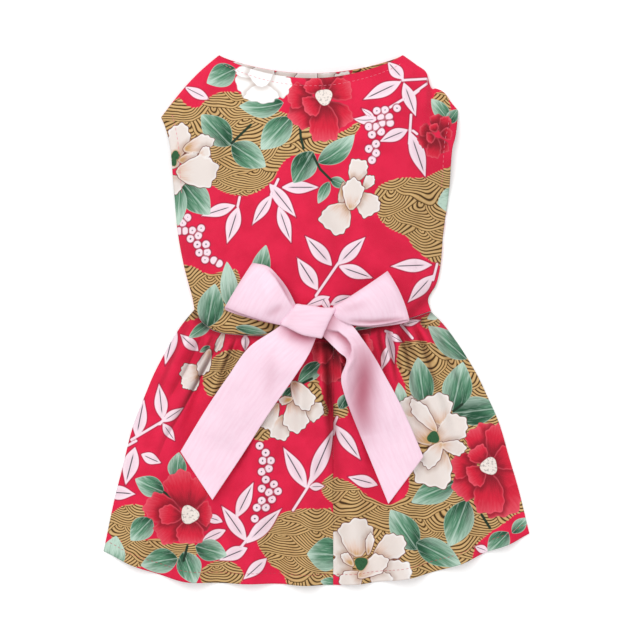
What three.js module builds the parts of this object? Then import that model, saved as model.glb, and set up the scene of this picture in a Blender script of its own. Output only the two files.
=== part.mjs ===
// A sleeveless dress for a small dog, lying flat on its belly side with the back up.
// Millimetres. +X is the wearer's right as seen from above, +Y points to the neck, +Z is up.
// The origin lies on the floor, under the middle of the dress.
import * as THREE from 'three';

// Cloth and seams
const clothThickness = 1.2;
const ribbonThickness = 1.0;
const seamGap = 0.4;          // left between two sewn edges
const layGap = 0.3;           // left between a piece and the cloth that it lies on
const steepestWall = 2.2;     // the most that a sloping wall is thickened upwards

// Bodice
const chestHalfWidth = 100;
const neckWidth = 132;        // between the two neck points
const neckCentreX = -4;
const neckPointY = 191;
const neckDrop = 19;          // how far the neckline scoops below the neck points
const bellyNeckStandOut = 6;  // how far the belly side shows beyond the neckline
const shoulderDrop = 45;      // from the neck points down to the sleeve tips
const shoulderBulge = 3.5;    // how far a shoulder's edge stands out of a straight line
const bodiceLoft = 34;        // height of the hollow at the chest
const mouthHeight = 21;       // height of the open neck
const armholeLength = 58;
const armholeDepth = 36;      // cut into the belly side
const armholeLift = 5;        // how far the back's edge stands off the belly at the armhole
const bellyHemRise = 26;      // the belly side ends this far above the waist

// How the bodice curves
const shoulderReach = 0.3;    // share of the bodice in which the shoulders rise to the loft
const domePower = 2.6;        // higher is a flatter back with rounder sides
const edgePower = 4;          // higher keeps the armhole's lift closer to the edge
const neckScoopPower = 0.8;   // lower is a squarer scoop
const mouthPower = 0.7;
const armholePower = 1;
const bellyHemPower = 0.8;

// Waist and skirt
const waistY = -11;
const waistRise = 19;         // how far the seam rises towards the sides
const centreSeamX = 12;
const hemHalfWidth = 153.5;
const hemY = -191;            // the lowest point of the hem
const hemRise = 37;           // how far the hem rises towards its corners
const gatherCount = 8;        // in each half of the skirt
const gatherHeight = 4;
const gatherStart = 0.06;     // share of the skirt's length in which the gathers reach their height
const gatherEnd = 0.6;        // share at which they have run out
const hemFoldHeight = 10;

// Bow
const ribbonWidth = 38;
const bowX = -4;
const bowY = -2;
const knotLength = 33;
const knotWidth = 27;
const knotHeight = 9;
const knotTurn = -12;         // degrees
const knotPower = 3;          // 2 is an ellipse, higher is squarer
const knotFlatness = 0.6;     // lower has a steeper rim
const loopLength = 50;        // past the knot
const loopHeight = 13;
const loopRootHeight = 4;
const loopRootWidth = 17;
const loopEndShare = 0.8;     // a loop is fullest halfway out, and stays full from this share on
const loopFullPower = 0.8;
const tailLength = 120;
const tailRootWidth = 15;
const tailBend = 0.35;        // share of a tail's length at which it turns
const tailSpread = 0.3;       // share of its length in which it opens to the full ribbon
const tailCreaseHeight = 3.2;
const tailCreaseEnd = 0.7;    // share of its length at which its crease has run out

// How a ribbon lies on the gathers
const chartCell = 2;          // how finely the cloth's height is charted for what lies on it
const bridgeCells = 4;        // a ribbon bridges hollows this many cells wide to each side
const evenCells = 2;          // and its height is evened out over this many

// Outline of the bodice, from the sleeve tips down to the waist, in shares of chestHalfWidth.
const bodiceSides = [
  { down: 0.00, left: 1.120, right: 1.020 },
  { down: 0.05, left: 1.090, right: 1.015 },
  { down: 0.13, left: 1.060, right: 1.000 },
  { down: 0.20, left: 1.045, right: 0.975 },
  { down: 0.40, left: 1.025, right: 0.955 },
  { down: 0.60, left: 1.000, right: 0.915 },
  { down: 0.76, left: 0.960, right: 0.895 },
  { down: 0.86, left: 0.925, right: 0.865 },
  { down: 0.94, left: 0.895, right: 0.805 },
  { down: 1.00, left: 0.880, right: 0.825 },
];

// Height of the bodice along its middle, in shares of bodiceLoft.
const bodiceHeights = [
  { down: 0.00, loft: 0.80 },
  { down: 0.20, loft: 0.95 },
  { down: 0.45, loft: 1.00 },
  { down: 0.75, loft: 0.84 },
  { down: 1.00, loft: 0.64 },
];

// The waist seam from left to right, in shares of waistRise.
const waistSeam = [
  { across: 0.00, rise: 1.00 },
  { across: 0.03, rise: 0.55 },
  { across: 0.09, rise: 0.17 },
  { across: 0.20, rise: 0.03 },
  { across: 0.31, rise: 0.00 },
  { across: 0.50, rise: 0.07 },
  { across: 0.66, rise: 0.18 },
  { across: 0.79, rise: 0.37 },
  { across: 0.90, rise: 0.62 },
  { across: 1.00, rise: 0.92 },
];

// The hem from left to right, in shares of hemRise.
const hemCurve = [
  { across: 0.00, rise: 0.655 },
  { across: 0.07, rise: 0.385 },
  { across: 0.17, rise: 0.115 },
  { across: 0.24, rise: 0.050 },
  { across: 0.37, rise: 0.030 },
  { across: 0.54, rise: 0.000 },
  { across: 0.63, rise: 0.048 },
  { across: 0.73, rise: 0.165 },
  { across: 0.83, rise: 0.396 },
  { across: 0.90, rise: 0.644 },
  { across: 0.96, rise: 0.827 },
  { across: 1.00, rise: 1.000 },
];

// How the skirt flares from waist to hem, in shares of its whole flare and of its fall in height.
const skirtFlare = [
  { down: 0.00, out: 0.00, fall: 0.00 },
  { down: 0.07, out: 0.15, fall: 0.05 },
  { down: 0.17, out: 0.31, fall: 0.18 },
  { down: 0.27, out: 0.45, fall: 0.34 },
  { down: 0.37, out: 0.56, fall: 0.50 },
  { down: 0.50, out: 0.69, fall: 0.68 },
  { down: 0.65, out: 0.79, fall: 0.84 },
  { down: 0.80, out: 0.89, fall: 0.95 },
  { down: 1.00, out: 1.00, fall: 1.00 },
];

// Broad folds that open towards the hem: middle and half width as shares of the hem, and crest in
// shares of hemFoldHeight.
const hemFolds = [
  { across: 0.07, reach: 0.060, crest: 0.70 },
  { across: 0.20, reach: 0.070, crest: 1.00 },
  { across: 0.34, reach: 0.065, crest: 0.80 },
  { across: 0.47, reach: 0.055, crest: 0.95 },
  { across: 0.59, reach: 0.050, crest: 0.70 },
  { across: 0.71, reach: 0.065, crest: 1.00 },
  { across: 0.84, reach: 0.060, crest: 0.85 },
  { across: 0.94, reach: 0.050, crest: 0.60 },
];

// The two loops of the bow: heading in degrees from +X, length in shares of loopLength, and how far the
// end slants in shares of ribbonWidth.
const bowLoops = [
  { name: 'bow_loop_left', heading: 153, length: 0.88, slant: 0.16 },
  { name: 'bow_loop_right', heading: 20, length: 1.00, slant: -0.16 },
];

// The two tails of the bow: how they leave the knot, how they end and how the end is cut, in degrees,
// and their length and crease in shares of tailLength and tailCreaseHeight.
const bowTails = [
  { name: 'bow_tail_left', leaves: 236, ends: 233, cut: 19, length: 1.01, crease: 0 },
  { name: 'bow_tail_right', leaves: 309, ends: 291, cut: -32, length: 0.99, crease: 1 },
];

// How finely each piece is meshed. A skirt's rows lie closer together near its gathers.
const backMesh = { columns: 30, rows: 20 };
const bellyMesh = { columns: 20, rows: 16 };
const skirtMesh = { columns: 32, rows: 15, crowding: 1.5 };
const loopMesh = { columns: 24, rows: 6 };
const tailMesh = { columns: 6, rows: 18 };
const knotMesh = { sides: 20, rings: 10 };
const shoulderColumns = 0.2;  // share of the bodice's columns in each shoulder
const slopeStep = 0.005;      // share of a sheet over which its slope is taken

const { lerp, clamp, degToRad: radians } = THREE.MathUtils;
const easeIn = (share) => share * share * (3 - 2 * share);

// Height of an arch over a share from 0 to 1: a lower power is squarer.
const arch = (share, power) => Math.sin(Math.PI * clamp(share, 0, 1)) ** power;

// Height of a rounded dome across a width: 0 at both sides, 1 in the middle.
const dome = (across) => 1 - Math.abs(2 * across - 1) ** domePower;

// A column of a table at a place between its rows, on a smooth curve through them.
function along(table, key, column, at) {
  let row = 0;
  while (row < table.length - 2 && at > table[row + 1][key]) row += 1;
  const [a, b] = [table[row], table[row + 1]];
  const before = table[Math.max(row - 1, 0)];
  const after = table[Math.min(row + 2, table.length - 1)];
  const span = b[key] - a[key];
  const share = clamp((at - a[key]) / span, 0, 1);
  const slopeA = (b[column] - before[column]) / (b[key] - before[key]);
  const slopeB = (after[column] - a[column]) / (after[key] - a[key]);
  const [s2, s3] = [share ** 2, share ** 3];
  return (2 * s3 - 3 * s2 + 1) * a[column] + (s3 - 2 * s2 + share) * span * slopeA
    + (3 * s2 - 2 * s3) * b[column] + (s3 - s2) * span * slopeB;
}

// Bends a thin box into a sheet of cloth. The surface gives the sheet's lower side for a share across
// and a share down, and the upper side stands off it so that the wall keeps its thickness on slopes.
function clothSheet({ columns, rows }, surface, thickness) {
  const sheet = new THREE.BoxGeometry(1, 1, 1, columns, rows, 1);
  const place = sheet.attributes.position;
  for (let i = 0; i < place.count; i += 1) {
    const across = place.getX(i) + 0.5;
    const down = 0.5 - place.getY(i);
    const point = surface(across, down);
    if (place.getZ(i) > 0) {
      const left = surface(Math.max(across - slopeStep, 0), down);
      const right = surface(Math.min(across + slopeStep, 1), down);
      const above = surface(across, Math.max(down - slopeStep, 0));
      const below = surface(across, Math.min(down + slopeStep, 1));
      const normal = right.sub(left).cross(above.sub(below)).normalize();
      point.z += thickness * Math.min(1 / Math.abs(normal.z), steepestWall);
    }
    place.setXYZ(i, point.x, point.y, point.z);
  }
  return sheet;
}

// Bends a thin box into a band of ribbon along a path. The path gives the middle of the wall for a share
// along it and a share across it from -0.5 to 0.5, and the wall stands half to each side.
function ribbonBand({ columns, rows }, middle) {
  const band = new THREE.BoxGeometry(1, 1, 1, columns, rows, 1);
  const place = band.attributes.position;
  for (let i = 0; i < place.count; i += 1) {
    const share = place.getX(i) + 0.5;
    const across = place.getY(i);
    const point = middle(share, across);
    const onwards = middle(Math.min(share + slopeStep, 1), across)
      .sub(middle(Math.max(share - slopeStep, 0), across));
    const sideways = middle(share, Math.min(across + slopeStep, 0.5))
      .sub(middle(share, Math.max(across - slopeStep, -0.5)));
    const normal = onwards.cross(sideways).normalize();
    point.addScaledVector(normal, Math.sign(place.getZ(i)) * ribbonThickness / 2);
    place.setXYZ(i, point.x, point.y, point.z);
  }
  return band;
}

function piece(name, geometry, material) {
  geometry.computeVertexNormals();
  const mesh = new THREE.Mesh(geometry, material);
  mesh.name = name;
  return mesh;
}

const printedCotton = new THREE.MeshStandardMaterial({ color: 0xd8203f, roughness: 0.85, metalness: 0 });
const bellyCotton = new THREE.MeshStandardMaterial({ color: 0xc9a86a, roughness: 0.85, metalness: 0 });
const pinkSatin = new THREE.MeshStandardMaterial({ color: 0xf3c3d6, roughness: 0.38, metalness: 0 });

// The lower side of the back rests on the belly side along the side seams.
const seamHeight = clothThickness + layGap;
const neckLeftX = neckCentreX - neckWidth / 2;
const neckRightX = neckCentreX + neckWidth / 2;
const sleeveTipY = neckPointY - shoulderDrop;
const armholeShare = armholeLength / (sleeveTipY - waistY - waistRise);

const bodiceLeftX = (down) => -chestHalfWidth * along(bodiceSides, 'down', 'left', down);
const bodiceRightX = (down) => chestHalfWidth * along(bodiceSides, 'down', 'right', down);

// Shares across the top edge at which the two neck points lie.
const topWidth = bodiceRightX(0) - bodiceLeftX(0);
const neckLeftShare = (neckLeftX - bodiceLeftX(0)) / topWidth;
const neckRightShare = (neckRightX - bodiceLeftX(0)) / topWidth;

// Spreads a sheet's columns so that one falls on each neck point.
function acrossBodice(column) {
  const rest = 1 - shoulderColumns;
  if (column < shoulderColumns) return lerp(0, neckLeftShare, column / shoulderColumns);
  if (column > rest) return lerp(neckRightShare, 1, (column - rest) / shoulderColumns);
  return lerp(neckLeftShare, neckRightShare, (column - shoulderColumns) / (rest - shoulderColumns));
}

// Share across the neckline, from 0 at the left neck point to 1 at the right one.
const acrossNeck = (across) => clamp((across - neckLeftShare) / (neckRightShare - neckLeftShare), 0, 1);

// A shoulder's edge, from its sleeve tip up to its neck point.
const shoulderY = (share) => lerp(sleeveTipY, neckPointY, share) + shoulderBulge * arch(share, 1);

// The top edge: two sloping shoulders with the scoop of the neck between them.
function topEdgeY(across, scoop) {
  if (across < neckLeftShare) return shoulderY(across / neckLeftShare);
  if (across > neckRightShare) return shoulderY((1 - across) / (1 - neckRightShare));
  return neckPointY - scoop * arch(acrossNeck(across), neckScoopPower);
}

const waistSeamY = (across) => waistY + waistRise * along(waistSeam, 'across', 'rise', across);

// Lower side of the back of the bodice: a dome that narrows to the mouth of the neck.
function bodiceBack(column, down) {
  const across = acrossBodice(column);
  const x = lerp(bodiceLeftX(down), bodiceRightX(down), across);
  const y = lerp(topEdgeY(across, neckDrop), waistSeamY(across), down);
  const chest = bodiceLoft * along(bodiceHeights, 'down', 'loft', down);
  const mouth = mouthHeight * arch(acrossNeck(across), mouthPower);
  const shoulder = 1 - (1 - clamp(down / shoulderReach, 0, 1)) ** 2;
  const armhole = armholeLift * arch(down / armholeShare, 1) * Math.abs(2 * across - 1) ** edgePower;
  return new THREE.Vector3(x, y, seamHeight + lerp(mouth, chest, shoulder) * dome(across) + armhole);
}

// The belly side lies flat on the floor, with an armhole cut into each side. Its rows level out along the
// armholes, so that none crosses another where an armhole ends.
function bodiceBelly(column, down) {
  const across = acrossBodice(column);
  const alongArmhole = clamp(down / armholeShare, 0, 1);
  const cut = armholeDepth * arch(alongArmhole, armholePower);
  const x = lerp(bodiceLeftX(down) + cut, bodiceRightX(down) - cut, across);
  const hem = waistSeamY(across) + bellyHemRise * arch(across, bellyHemPower);
  const top = lerp(topEdgeY(across, neckDrop - bellyNeckStandOut), sleeveTipY, alongArmhole);
  return new THREE.Vector3(x, lerp(top, hem, down), 0);
}

const waistLeftX = bodiceLeftX(1);
const waistRightX = bodiceRightX(1);
const waistLoft = bodiceLoft * along(bodiceHeights, 'down', 'loft', 1);
const acrossWaist = (x) => (x - waistLeftX) / (waistRightX - waistLeftX);
const acrossHem = (x) => (x + hemHalfWidth) / (2 * hemHalfWidth);

// How high the broad folds stand at a share across the hem.
function hemFoldHeightAt(share) {
  let crests = 0;
  for (const { across, reach, crest } of hemFolds) {
    const away = clamp(Math.abs(share - across) / reach, 0, 1);
    crests += crest * (1 - easeIn(away));
  }
  return hemFoldHeight * crests;
}

// Lower side of half the skirt, between two edges given by their places at the waist and at the hem.
function skirtSurface(leftEdge, rightEdge, share, row) {
  const down = row ** skirtMesh.crowding;
  const topX = lerp(leftEdge.waist, rightEdge.waist, share);
  const hemX = lerp(leftEdge.hem, rightEdge.hem, share);
  const x = lerp(topX, hemX, along(skirtFlare, 'down', 'out', down));
  const topY = waistSeamY(acrossWaist(topX)) - seamGap;
  const bottomY = hemY + hemRise * along(hemCurve, 'across', 'rise', acrossHem(hemX));
  const fall = along(skirtFlare, 'down', 'fall', down);
  const body = (seamHeight + waistLoft * dome(acrossWaist(topX))) * (1 - fall);
  const held = clamp(down / gatherStart, 0, 1) * (1 - easeIn(clamp(down / gatherEnd, 0, 1)));
  const gather = gatherHeight * held * Math.sin(Math.PI * gatherCount * share) ** 2;
  const fold = hemFoldHeightAt(acrossHem(hemX)) * easeIn(down);
  return new THREE.Vector3(x, lerp(topY, bottomY, down), body + gather + fold);
}

const skirtSides = [
  { waist: waistLeftX, hem: -hemHalfWidth },
  { waist: centreSeamX - seamGap / 2, hem: centreSeamX - seamGap / 2 },
  { waist: centreSeamX + seamGap / 2, hem: centreSeamX + seamGap / 2 },
  { waist: waistRightX, hem: hemHalfWidth },
];
const skirtLeft = (share, row) => skirtSurface(skirtSides[0], skirtSides[1], share, row);
const skirtRight = (share, row) => skirtSurface(skirtSides[2], skirtSides[3], share, row);

const backPanel = piece('bodice_back', clothSheet(backMesh, bodiceBack, clothThickness), printedCotton);
const bellyPanel = piece('bodice_belly', clothSheet(bellyMesh, bodiceBelly, clothThickness), bellyCotton);
const leftSkirt = piece('skirt_left', clothSheet(skirtMesh, skirtLeft, clothThickness), printedCotton);
const rightSkirt = piece('skirt_right', clothSheet(skirtMesh, skirtRight, clothThickness), printedCotton);

const cellKey = (column, row) => `${column},${row}`;

// A chart of the panels' upper side seen from above: the height of each square cell of the plan.
function chartOf(panels) {
  const chart = new Map();
  const corners = [new THREE.Vector3(), new THREE.Vector3(), new THREE.Vector3()];
  const spot = new THREE.Vector3();
  for (const { geometry } of panels) {
    const place = geometry.attributes.position;
    for (let i = 0; i < geometry.index.count; i += 3) {
      corners.forEach((corner, k) => corner.fromBufferAttribute(place, geometry.index.getX(i + k)));
      const [a, b, c] = corners;
      const longest = Math.max(a.distanceTo(b), b.distanceTo(c), c.distanceTo(a));
      const parts = Math.ceil(2 * longest / chartCell);
      for (let p = 0; p <= parts; p += 1) {
        for (let q = 0; q <= parts - p; q += 1) {
          spot.copy(a).multiplyScalar((parts - p - q) / parts)
            .addScaledVector(b, p / parts).addScaledVector(c, q / parts);
          const key = cellKey(Math.round(spot.x / chartCell), Math.round(spot.y / chartCell));
          chart.set(key, Math.max(chart.get(key) ?? 0, spot.z));
        }
      }
    }
  }
  return chart;
}

// The heights in a window of cells around one.
function heightsAround(column, row, reach, heightOf) {
  const heights = [];
  for (let i = -reach; i <= reach; i += 1) {
    for (let j = -reach; j <= reach; j += 1) heights.push(heightOf(column + i, row + j));
  }
  return heights;
}

// Works a cell's height out once and keeps it.
function kept(work) {
  const known = new Map();
  return (column, row) => {
    const key = cellKey(column, row);
    if (!known.has(key)) known.set(key, work(column, row));
    return known.get(key);
  };
}

// The cloth's height as a ribbon feels it: bridged from crest to crest, then evened out.
const clothChart = chartOf([backPanel, leftSkirt, rightSkirt]);
const clothHeight = (column, row) => clothChart.get(cellKey(column, row)) ?? 0;
const bridgedHeight = kept((column, row) =>
  Math.max(...heightsAround(column, row, bridgeCells, clothHeight)));
const evenedHeight = kept((column, row) => {
  const heights = heightsAround(column, row, evenCells, bridgedHeight);
  return heights.reduce((sum, height) => sum + height, 0) / heights.length;
});

// Height at which a ribbon lies on the dress at a spot.
function layHeight(x, y) {
  const [column, row] = [Math.floor(x / chartCell), Math.floor(y / chartCell)];
  const [shareX, shareY] = [x / chartCell - column, y / chartCell - row];
  return lerp(
    lerp(evenedHeight(column, row), evenedHeight(column + 1, row), shareX),
    lerp(evenedHeight(column, row + 1), evenedHeight(column + 1, row + 1), shareX),
    shareY,
  );
}

const bow = new THREE.Vector2(bowX, bowY);
const ahead = (angle) => new THREE.Vector2(Math.cos(angle), Math.sin(angle));

// Distance from the middle of the knot to its outline in a direction.
function knotReach(angle) {
  const turned = angle - radians(knotTurn);
  const long = Math.abs(Math.cos(turned)) / (knotLength / 2);
  const wide = Math.abs(Math.sin(turned)) / (knotWidth / 2);
  return (long ** knotPower + wide ** knotPower) ** (-1 / knotPower);
}

// A spot just outside the outline of the knot.
const knotEdge = (angle) => ahead(angle).multiplyScalar(knotReach(angle) + layGap).add(bow);

// The knot: a flattened ball with the knot's outline, on the highest cloth under it.
function knotGeometry() {
  const ball = new THREE.SphereGeometry(1, knotMesh.sides, knotMesh.rings);
  const place = ball.attributes.position;
  const base = layHeight(bow.x, bow.y) + layGap;
  for (let i = 0; i < place.count; i += 1) {
    const direction = new THREE.Vector3().fromBufferAttribute(place, i);
    const angle = -Math.atan2(direction.z, direction.x);
    const out = Math.hypot(direction.x, direction.z) ** knotFlatness * knotReach(angle);
    const spot = ahead(angle).multiplyScalar(out).add(bow);
    place.setXYZ(i, spot.x, spot.y, base + knotHeight / 2 * (1 + direction.y));
  }
  return ball;
}

// A loop of the bow: out over the top, round its end and back underneath, hollow between.
function loopGeometry({ heading, length, slant }) {
  const angle = radians(heading);
  const forward = ahead(angle);
  const aside = ahead(angle + Math.PI / 2);
  const rootSpread = loopRootWidth / (knotLength / 2);
  const clear = ribbonThickness / 2 + layGap;
  return ribbonBand(loopMesh, (share, across) => {
    const out = arch(share, 1);
    const end = bow.clone()
      .addScaledVector(forward, knotReach(angle) + loopLength * length + ribbonWidth * slant * across)
      .addScaledVector(aside, ribbonWidth * across);
    const spot = knotEdge(angle + across * rootSpread).lerp(end, out);
    const full = arch(Math.min(out, loopEndShare), loopFullPower);
    const rise = lerp(loopRootHeight, loopHeight, full) * (1 + Math.cos(Math.PI * share)) / 2;
    return new THREE.Vector3(spot.x, spot.y, layHeight(spot.x, spot.y) + clear + rise);
  });
}

// A tail of the bow: from the knot along a curve to its slanting cut end, laid on the skirt.
function tailGeometry({ leaves, ends, cut, length, crease }) {
  const angle = radians(leaves);
  const start = bow.clone().addScaledVector(ahead(angle), knotReach(angle));
  const bend = start.clone().addScaledVector(ahead(angle), tailLength * length * tailBend);
  const finish = bend.clone()
    .addScaledVector(ahead(radians(ends)), tailLength * length * (1 - tailBend));
  const route = new THREE.QuadraticBezierCurve(start, bend, finish);
  const rootSpread = tailRootWidth / (knotWidth / 2);
  return clothSheet(tailMesh, (column, share) => {
    const across = column - 0.5;
    const tangent = route.getTangent(share);
    const aside = new THREE.Vector2(-tangent.y, tangent.x);
    const opened = route.getPoint(share)
      .addScaledVector(aside, ribbonWidth * across)
      .addScaledVector(tangent, ribbonWidth * across * share * Math.tan(radians(cut)));
    const spot = knotEdge(angle + across * rootSpread)
      .lerp(opened, easeIn(clamp(share / tailSpread, 0, 1)));
    const ridge = crease * tailCreaseHeight * (1 - Math.sin(2 * Math.PI * across))
      * arch(share / tailCreaseEnd, 1);
    return new THREE.Vector3(spot.x, spot.y, layHeight(spot.x, spot.y) + layGap + ridge);
  }, ribbonThickness);
}

const dress = new THREE.Group();
dress.add(backPanel, bellyPanel, leftSkirt, rightSkirt);
dress.add(piece('bow_knot', knotGeometry(), pinkSatin));
for (const loop of bowLoops) dress.add(piece(loop.name, loopGeometry(loop), pinkSatin));
for (const tail of bowTails) dress.add(piece(tail.name, tailGeometry(tail), pinkSatin));

export default dress;
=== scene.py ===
"""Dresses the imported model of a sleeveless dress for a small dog, lying on its belly side.

Tables and surfaces are in millimetres, and meshes in metres. The print and the folds are charted in
steps of CHART_STEP, across and down from the upper left corner of the chart.
"""

import logging
import math
from dataclasses import dataclass, field
from enum import Enum
from typing import Callable, NamedTuple

import bmesh
import bpy
import numpy as np
from mathutils import Matrix, Vector


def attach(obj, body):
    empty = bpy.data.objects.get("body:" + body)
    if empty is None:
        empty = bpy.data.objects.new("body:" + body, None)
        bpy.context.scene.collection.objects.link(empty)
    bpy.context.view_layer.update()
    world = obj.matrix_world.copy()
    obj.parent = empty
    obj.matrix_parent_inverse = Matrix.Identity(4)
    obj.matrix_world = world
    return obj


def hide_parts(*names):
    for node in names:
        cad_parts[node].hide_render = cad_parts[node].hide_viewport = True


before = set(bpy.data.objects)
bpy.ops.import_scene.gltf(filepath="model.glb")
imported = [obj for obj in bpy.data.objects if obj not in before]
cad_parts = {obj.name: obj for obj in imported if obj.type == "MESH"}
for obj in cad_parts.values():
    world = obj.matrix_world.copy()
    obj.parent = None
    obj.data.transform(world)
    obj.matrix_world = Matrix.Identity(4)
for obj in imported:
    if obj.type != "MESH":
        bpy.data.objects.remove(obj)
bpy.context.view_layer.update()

log = logging.getLogger("dress")

MM = 0.001
CHART_STEP = 0.72
CHART_X = 316.5
CHART_Y = 320.0
TURN = 2 * math.pi
FAR = 99
KINDS = ("camellia", "peony")

Array = np.ndarray
Surface = Callable[[Array, Array], Array]
Rows = tuple[tuple[float, ...], ...]


class Finish(Enum):
    """The record's material slots."""

    PRINT = "printed_cotton"
    BELLY = "belly_cotton"
    SATIN = "satin_ribbon"


# Working with shares and heights


def lerp(low: Array, high: Array, share: Array) -> Array:
    """Returns the value that lies a share of the way from low to high."""
    return low + (high - low) * share


def ease_in(share: Array) -> Array:
    """Returns a share that starts and ends gently."""
    held = np.clip(share, 0, 1)
    return held * held * (3 - 2 * held)


def arch(share: Array, power: float) -> Array:
    """Returns the height of an arch over a share from 0 to 1; a lower power is squarer."""
    return np.clip(np.sin(np.pi * np.clip(share, 0, 1)), 0, 1) ** power


def bump(away: Array, reach: float) -> Array:
    """Returns a soft bump of height 1 at no distance, which runs out over about twice its reach."""
    return np.exp(-((away / reach) ** 2))


def unevenness(x: Array, y: Array, wavelength: float, turn: float) -> Array:
    """Returns soft irregular waves that lie mostly between -1 and 1.

    Args:
        x: Places across, in the wavelength's unit.
        y: Places along, in the wavelength's unit.
        wavelength: Roughly the distance between two crests.
        turn: An angle that makes one set of waves differ from another.

    Returns:
        The height of the waves at each place.
    """
    total = np.zeros_like(x)
    for wave in range(6):
        angle = turn + 2.4 * wave
        length = wavelength * (0.7 + 0.17 * wave)
        ahead = x * math.cos(angle) + y * math.sin(angle)
        total += np.sin(TURN * ahead / length + 1.7 * wave * wave + turn)
    return total / 2.6


def chart_of(points: Array) -> Array:
    """Returns the chart places of points in millimetres, seen from above."""
    return np.column_stack((points[:, 0] / CHART_STEP + CHART_X, CHART_Y - points[:, 1] / CHART_STEP))


def plan_x(chart_x: Array) -> Array:
    """Returns millimetres across for places across the chart."""
    return (chart_x - CHART_X) * CHART_STEP


def plan_y(chart_y: Array) -> Array:
    """Returns millimetres up for places down the chart."""
    return (CHART_Y - chart_y) * CHART_STEP


@dataclass(frozen=True)
class Curve:
    """A smooth curve through the rows of a table, each with a key and one or more values.

    Attributes:
        rows: The rows in the order of their keys.
    """

    rows: Rows

    def at(self, places: Array, column: int = 1) -> Array:
        """Reads a column of the table at places between its rows.

        Args:
            places: Keys to read at.
            column: The column to read.

        Returns:
            The value at each place.
        """
        table = np.array(self.rows)
        keys, values = table[:, 0], table[:, column]
        last = len(keys) - 1
        row = np.clip(np.searchsorted(keys, places, side="left") - 1, 0, last - 1)
        before, after = np.maximum(row - 1, 0), np.minimum(row + 2, last)
        span = keys[row + 1] - keys[row]
        share = np.clip((places - keys[row]) / span, 0, 1)
        slope_a = (values[row + 1] - values[before]) / (keys[row + 1] - keys[before])
        slope_b = (values[after] - values[row]) / (keys[after] - keys[row])
        s2, s3 = share**2, share**3
        return (
            (2 * s3 - 3 * s2 + 1) * values[row] + (s3 - 2 * s2 + share) * span * slope_a
            + (3 * s2 - 2 * s3) * values[row + 1] + (s3 - s2) * span * slope_b
        )


def away_from_line(chart: Array, line: Rows) -> tuple[Array, Array, Array]:
    """Measures how far chart places lie from a line of straight stretches.

    Args:
        chart: Chart places, one a row.
        line: The corners of the line.

    Returns:
        The distance of each place, the share along the line of its nearest point, and 1 or -1 for its
        side, which is 1 on the left of a line that runs down the chart.
    """
    nearest = np.full(len(chart), 1e9)
    share, side = np.zeros(len(chart)), np.ones(len(chart))
    corners = np.array(line, float)
    lengths = np.hypot(*np.diff(corners, axis=0).T)
    passed = 0.0
    for start, end, length in zip(corners, corners[1:], lengths):
        part = np.clip((chart - start) @ (end - start) / length**2, 0, 1)
        gap = np.hypot(*(chart - start - part[:, None] * (end - start)).T)
        ahead_x, ahead_y = end - start
        turn = ahead_x * (chart[:, 1] - start[1]) - ahead_y * (chart[:, 0] - start[0])
        closer = gap < nearest
        nearest = np.where(closer, gap, nearest)
        share = np.where(closer, (passed + part * length) / lengths.sum(), share)
        side = np.where(closer, np.sign(turn), side)
        passed += length
    return nearest, share, side


class Crease(NamedTuple):
    """A ridge or valley in cloth along a charted line.

    Its side is 0 where it falls off both ways. With 1 it lies only on the left of a line that runs down
    the chart, and with -1 on the right, and the line is then a crisp edge.
    """

    height: float
    reach: float
    line: Rows
    side: int = 0


def creased(chart: Array, creases: tuple[Crease, ...]) -> tuple[Array, Array]:
    """Works out the relief of some creases, and the painted shade in their valleys.

    Args:
        chart: Chart places, one a row.
        creases: The creases, which run out towards their ends.

    Returns:
        The height that they add in millimetres, and the painted shade of each place in a valley, up to 1.
    """
    height, shade = np.zeros(len(chart)), np.zeros(len(chart))
    for crease in creases:
        away, share, side = away_from_line(chart, crease.line)
        part = bump(away, crease.reach) * (0.25 + 0.75 * arch(share, 0.7))
        if crease.side:
            part *= ease_in(0.5 + crease.side * side * away / 1.6)
        height += crease.height * part
        # Valleys are painted darker, as shade.
        if crease.height < 0:
            shade = np.maximum(shade, part * min(-crease.height / 2.5, 1))
    return height, shade


# The print


class Leaf(NamedTuple):
    """A leaf from its tip to its base; a tone above 0 is paler, and below 0 darker."""

    tip_x: float
    tip_y: float
    base_x: float
    base_y: float
    width: float
    tone: float = 0.0
    bend: float = 0.0


class Petal(NamedTuple):
    """A petal from its base to its tip, placed from the middle of its flower."""

    base_x: float
    base_y: float
    tip_x: float
    tip_y: float
    width: float
    layer: int
    tone: float = 0.0


class Bloom(NamedTuple):
    """One camellia on the cloth: where its middle is, how large, how far turned, and how pale."""

    x: float
    y: float
    scale: float = 1.0
    turn: float = 0.0
    tone: float = 0.0
    heart: bool = True


CAMELLIA = (
    Petal(-4, -8, -12, -40, 28, 0), Petal(4, -6, 12, -42, 24, 1), Petal(4, -2, 28, -12, 24, 2),
    Petal(4, 6, 24, 30, 26, 0), Petal(0, 6, 0, 48, 30, 1), Petal(-6, 8, -34, 26, 28, 0),
    Petal(-12, 0, -38, -2, 26, 1), Petal(-4, 4, -20, 14, 22, 2), Petal(-4, -4, -16, -18, 20, 2),
)
SEAM_CAMELLIA = Bloom(338, 345, 0.9, 180, heart=False)
PETAL_LAYERS = 3


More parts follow.
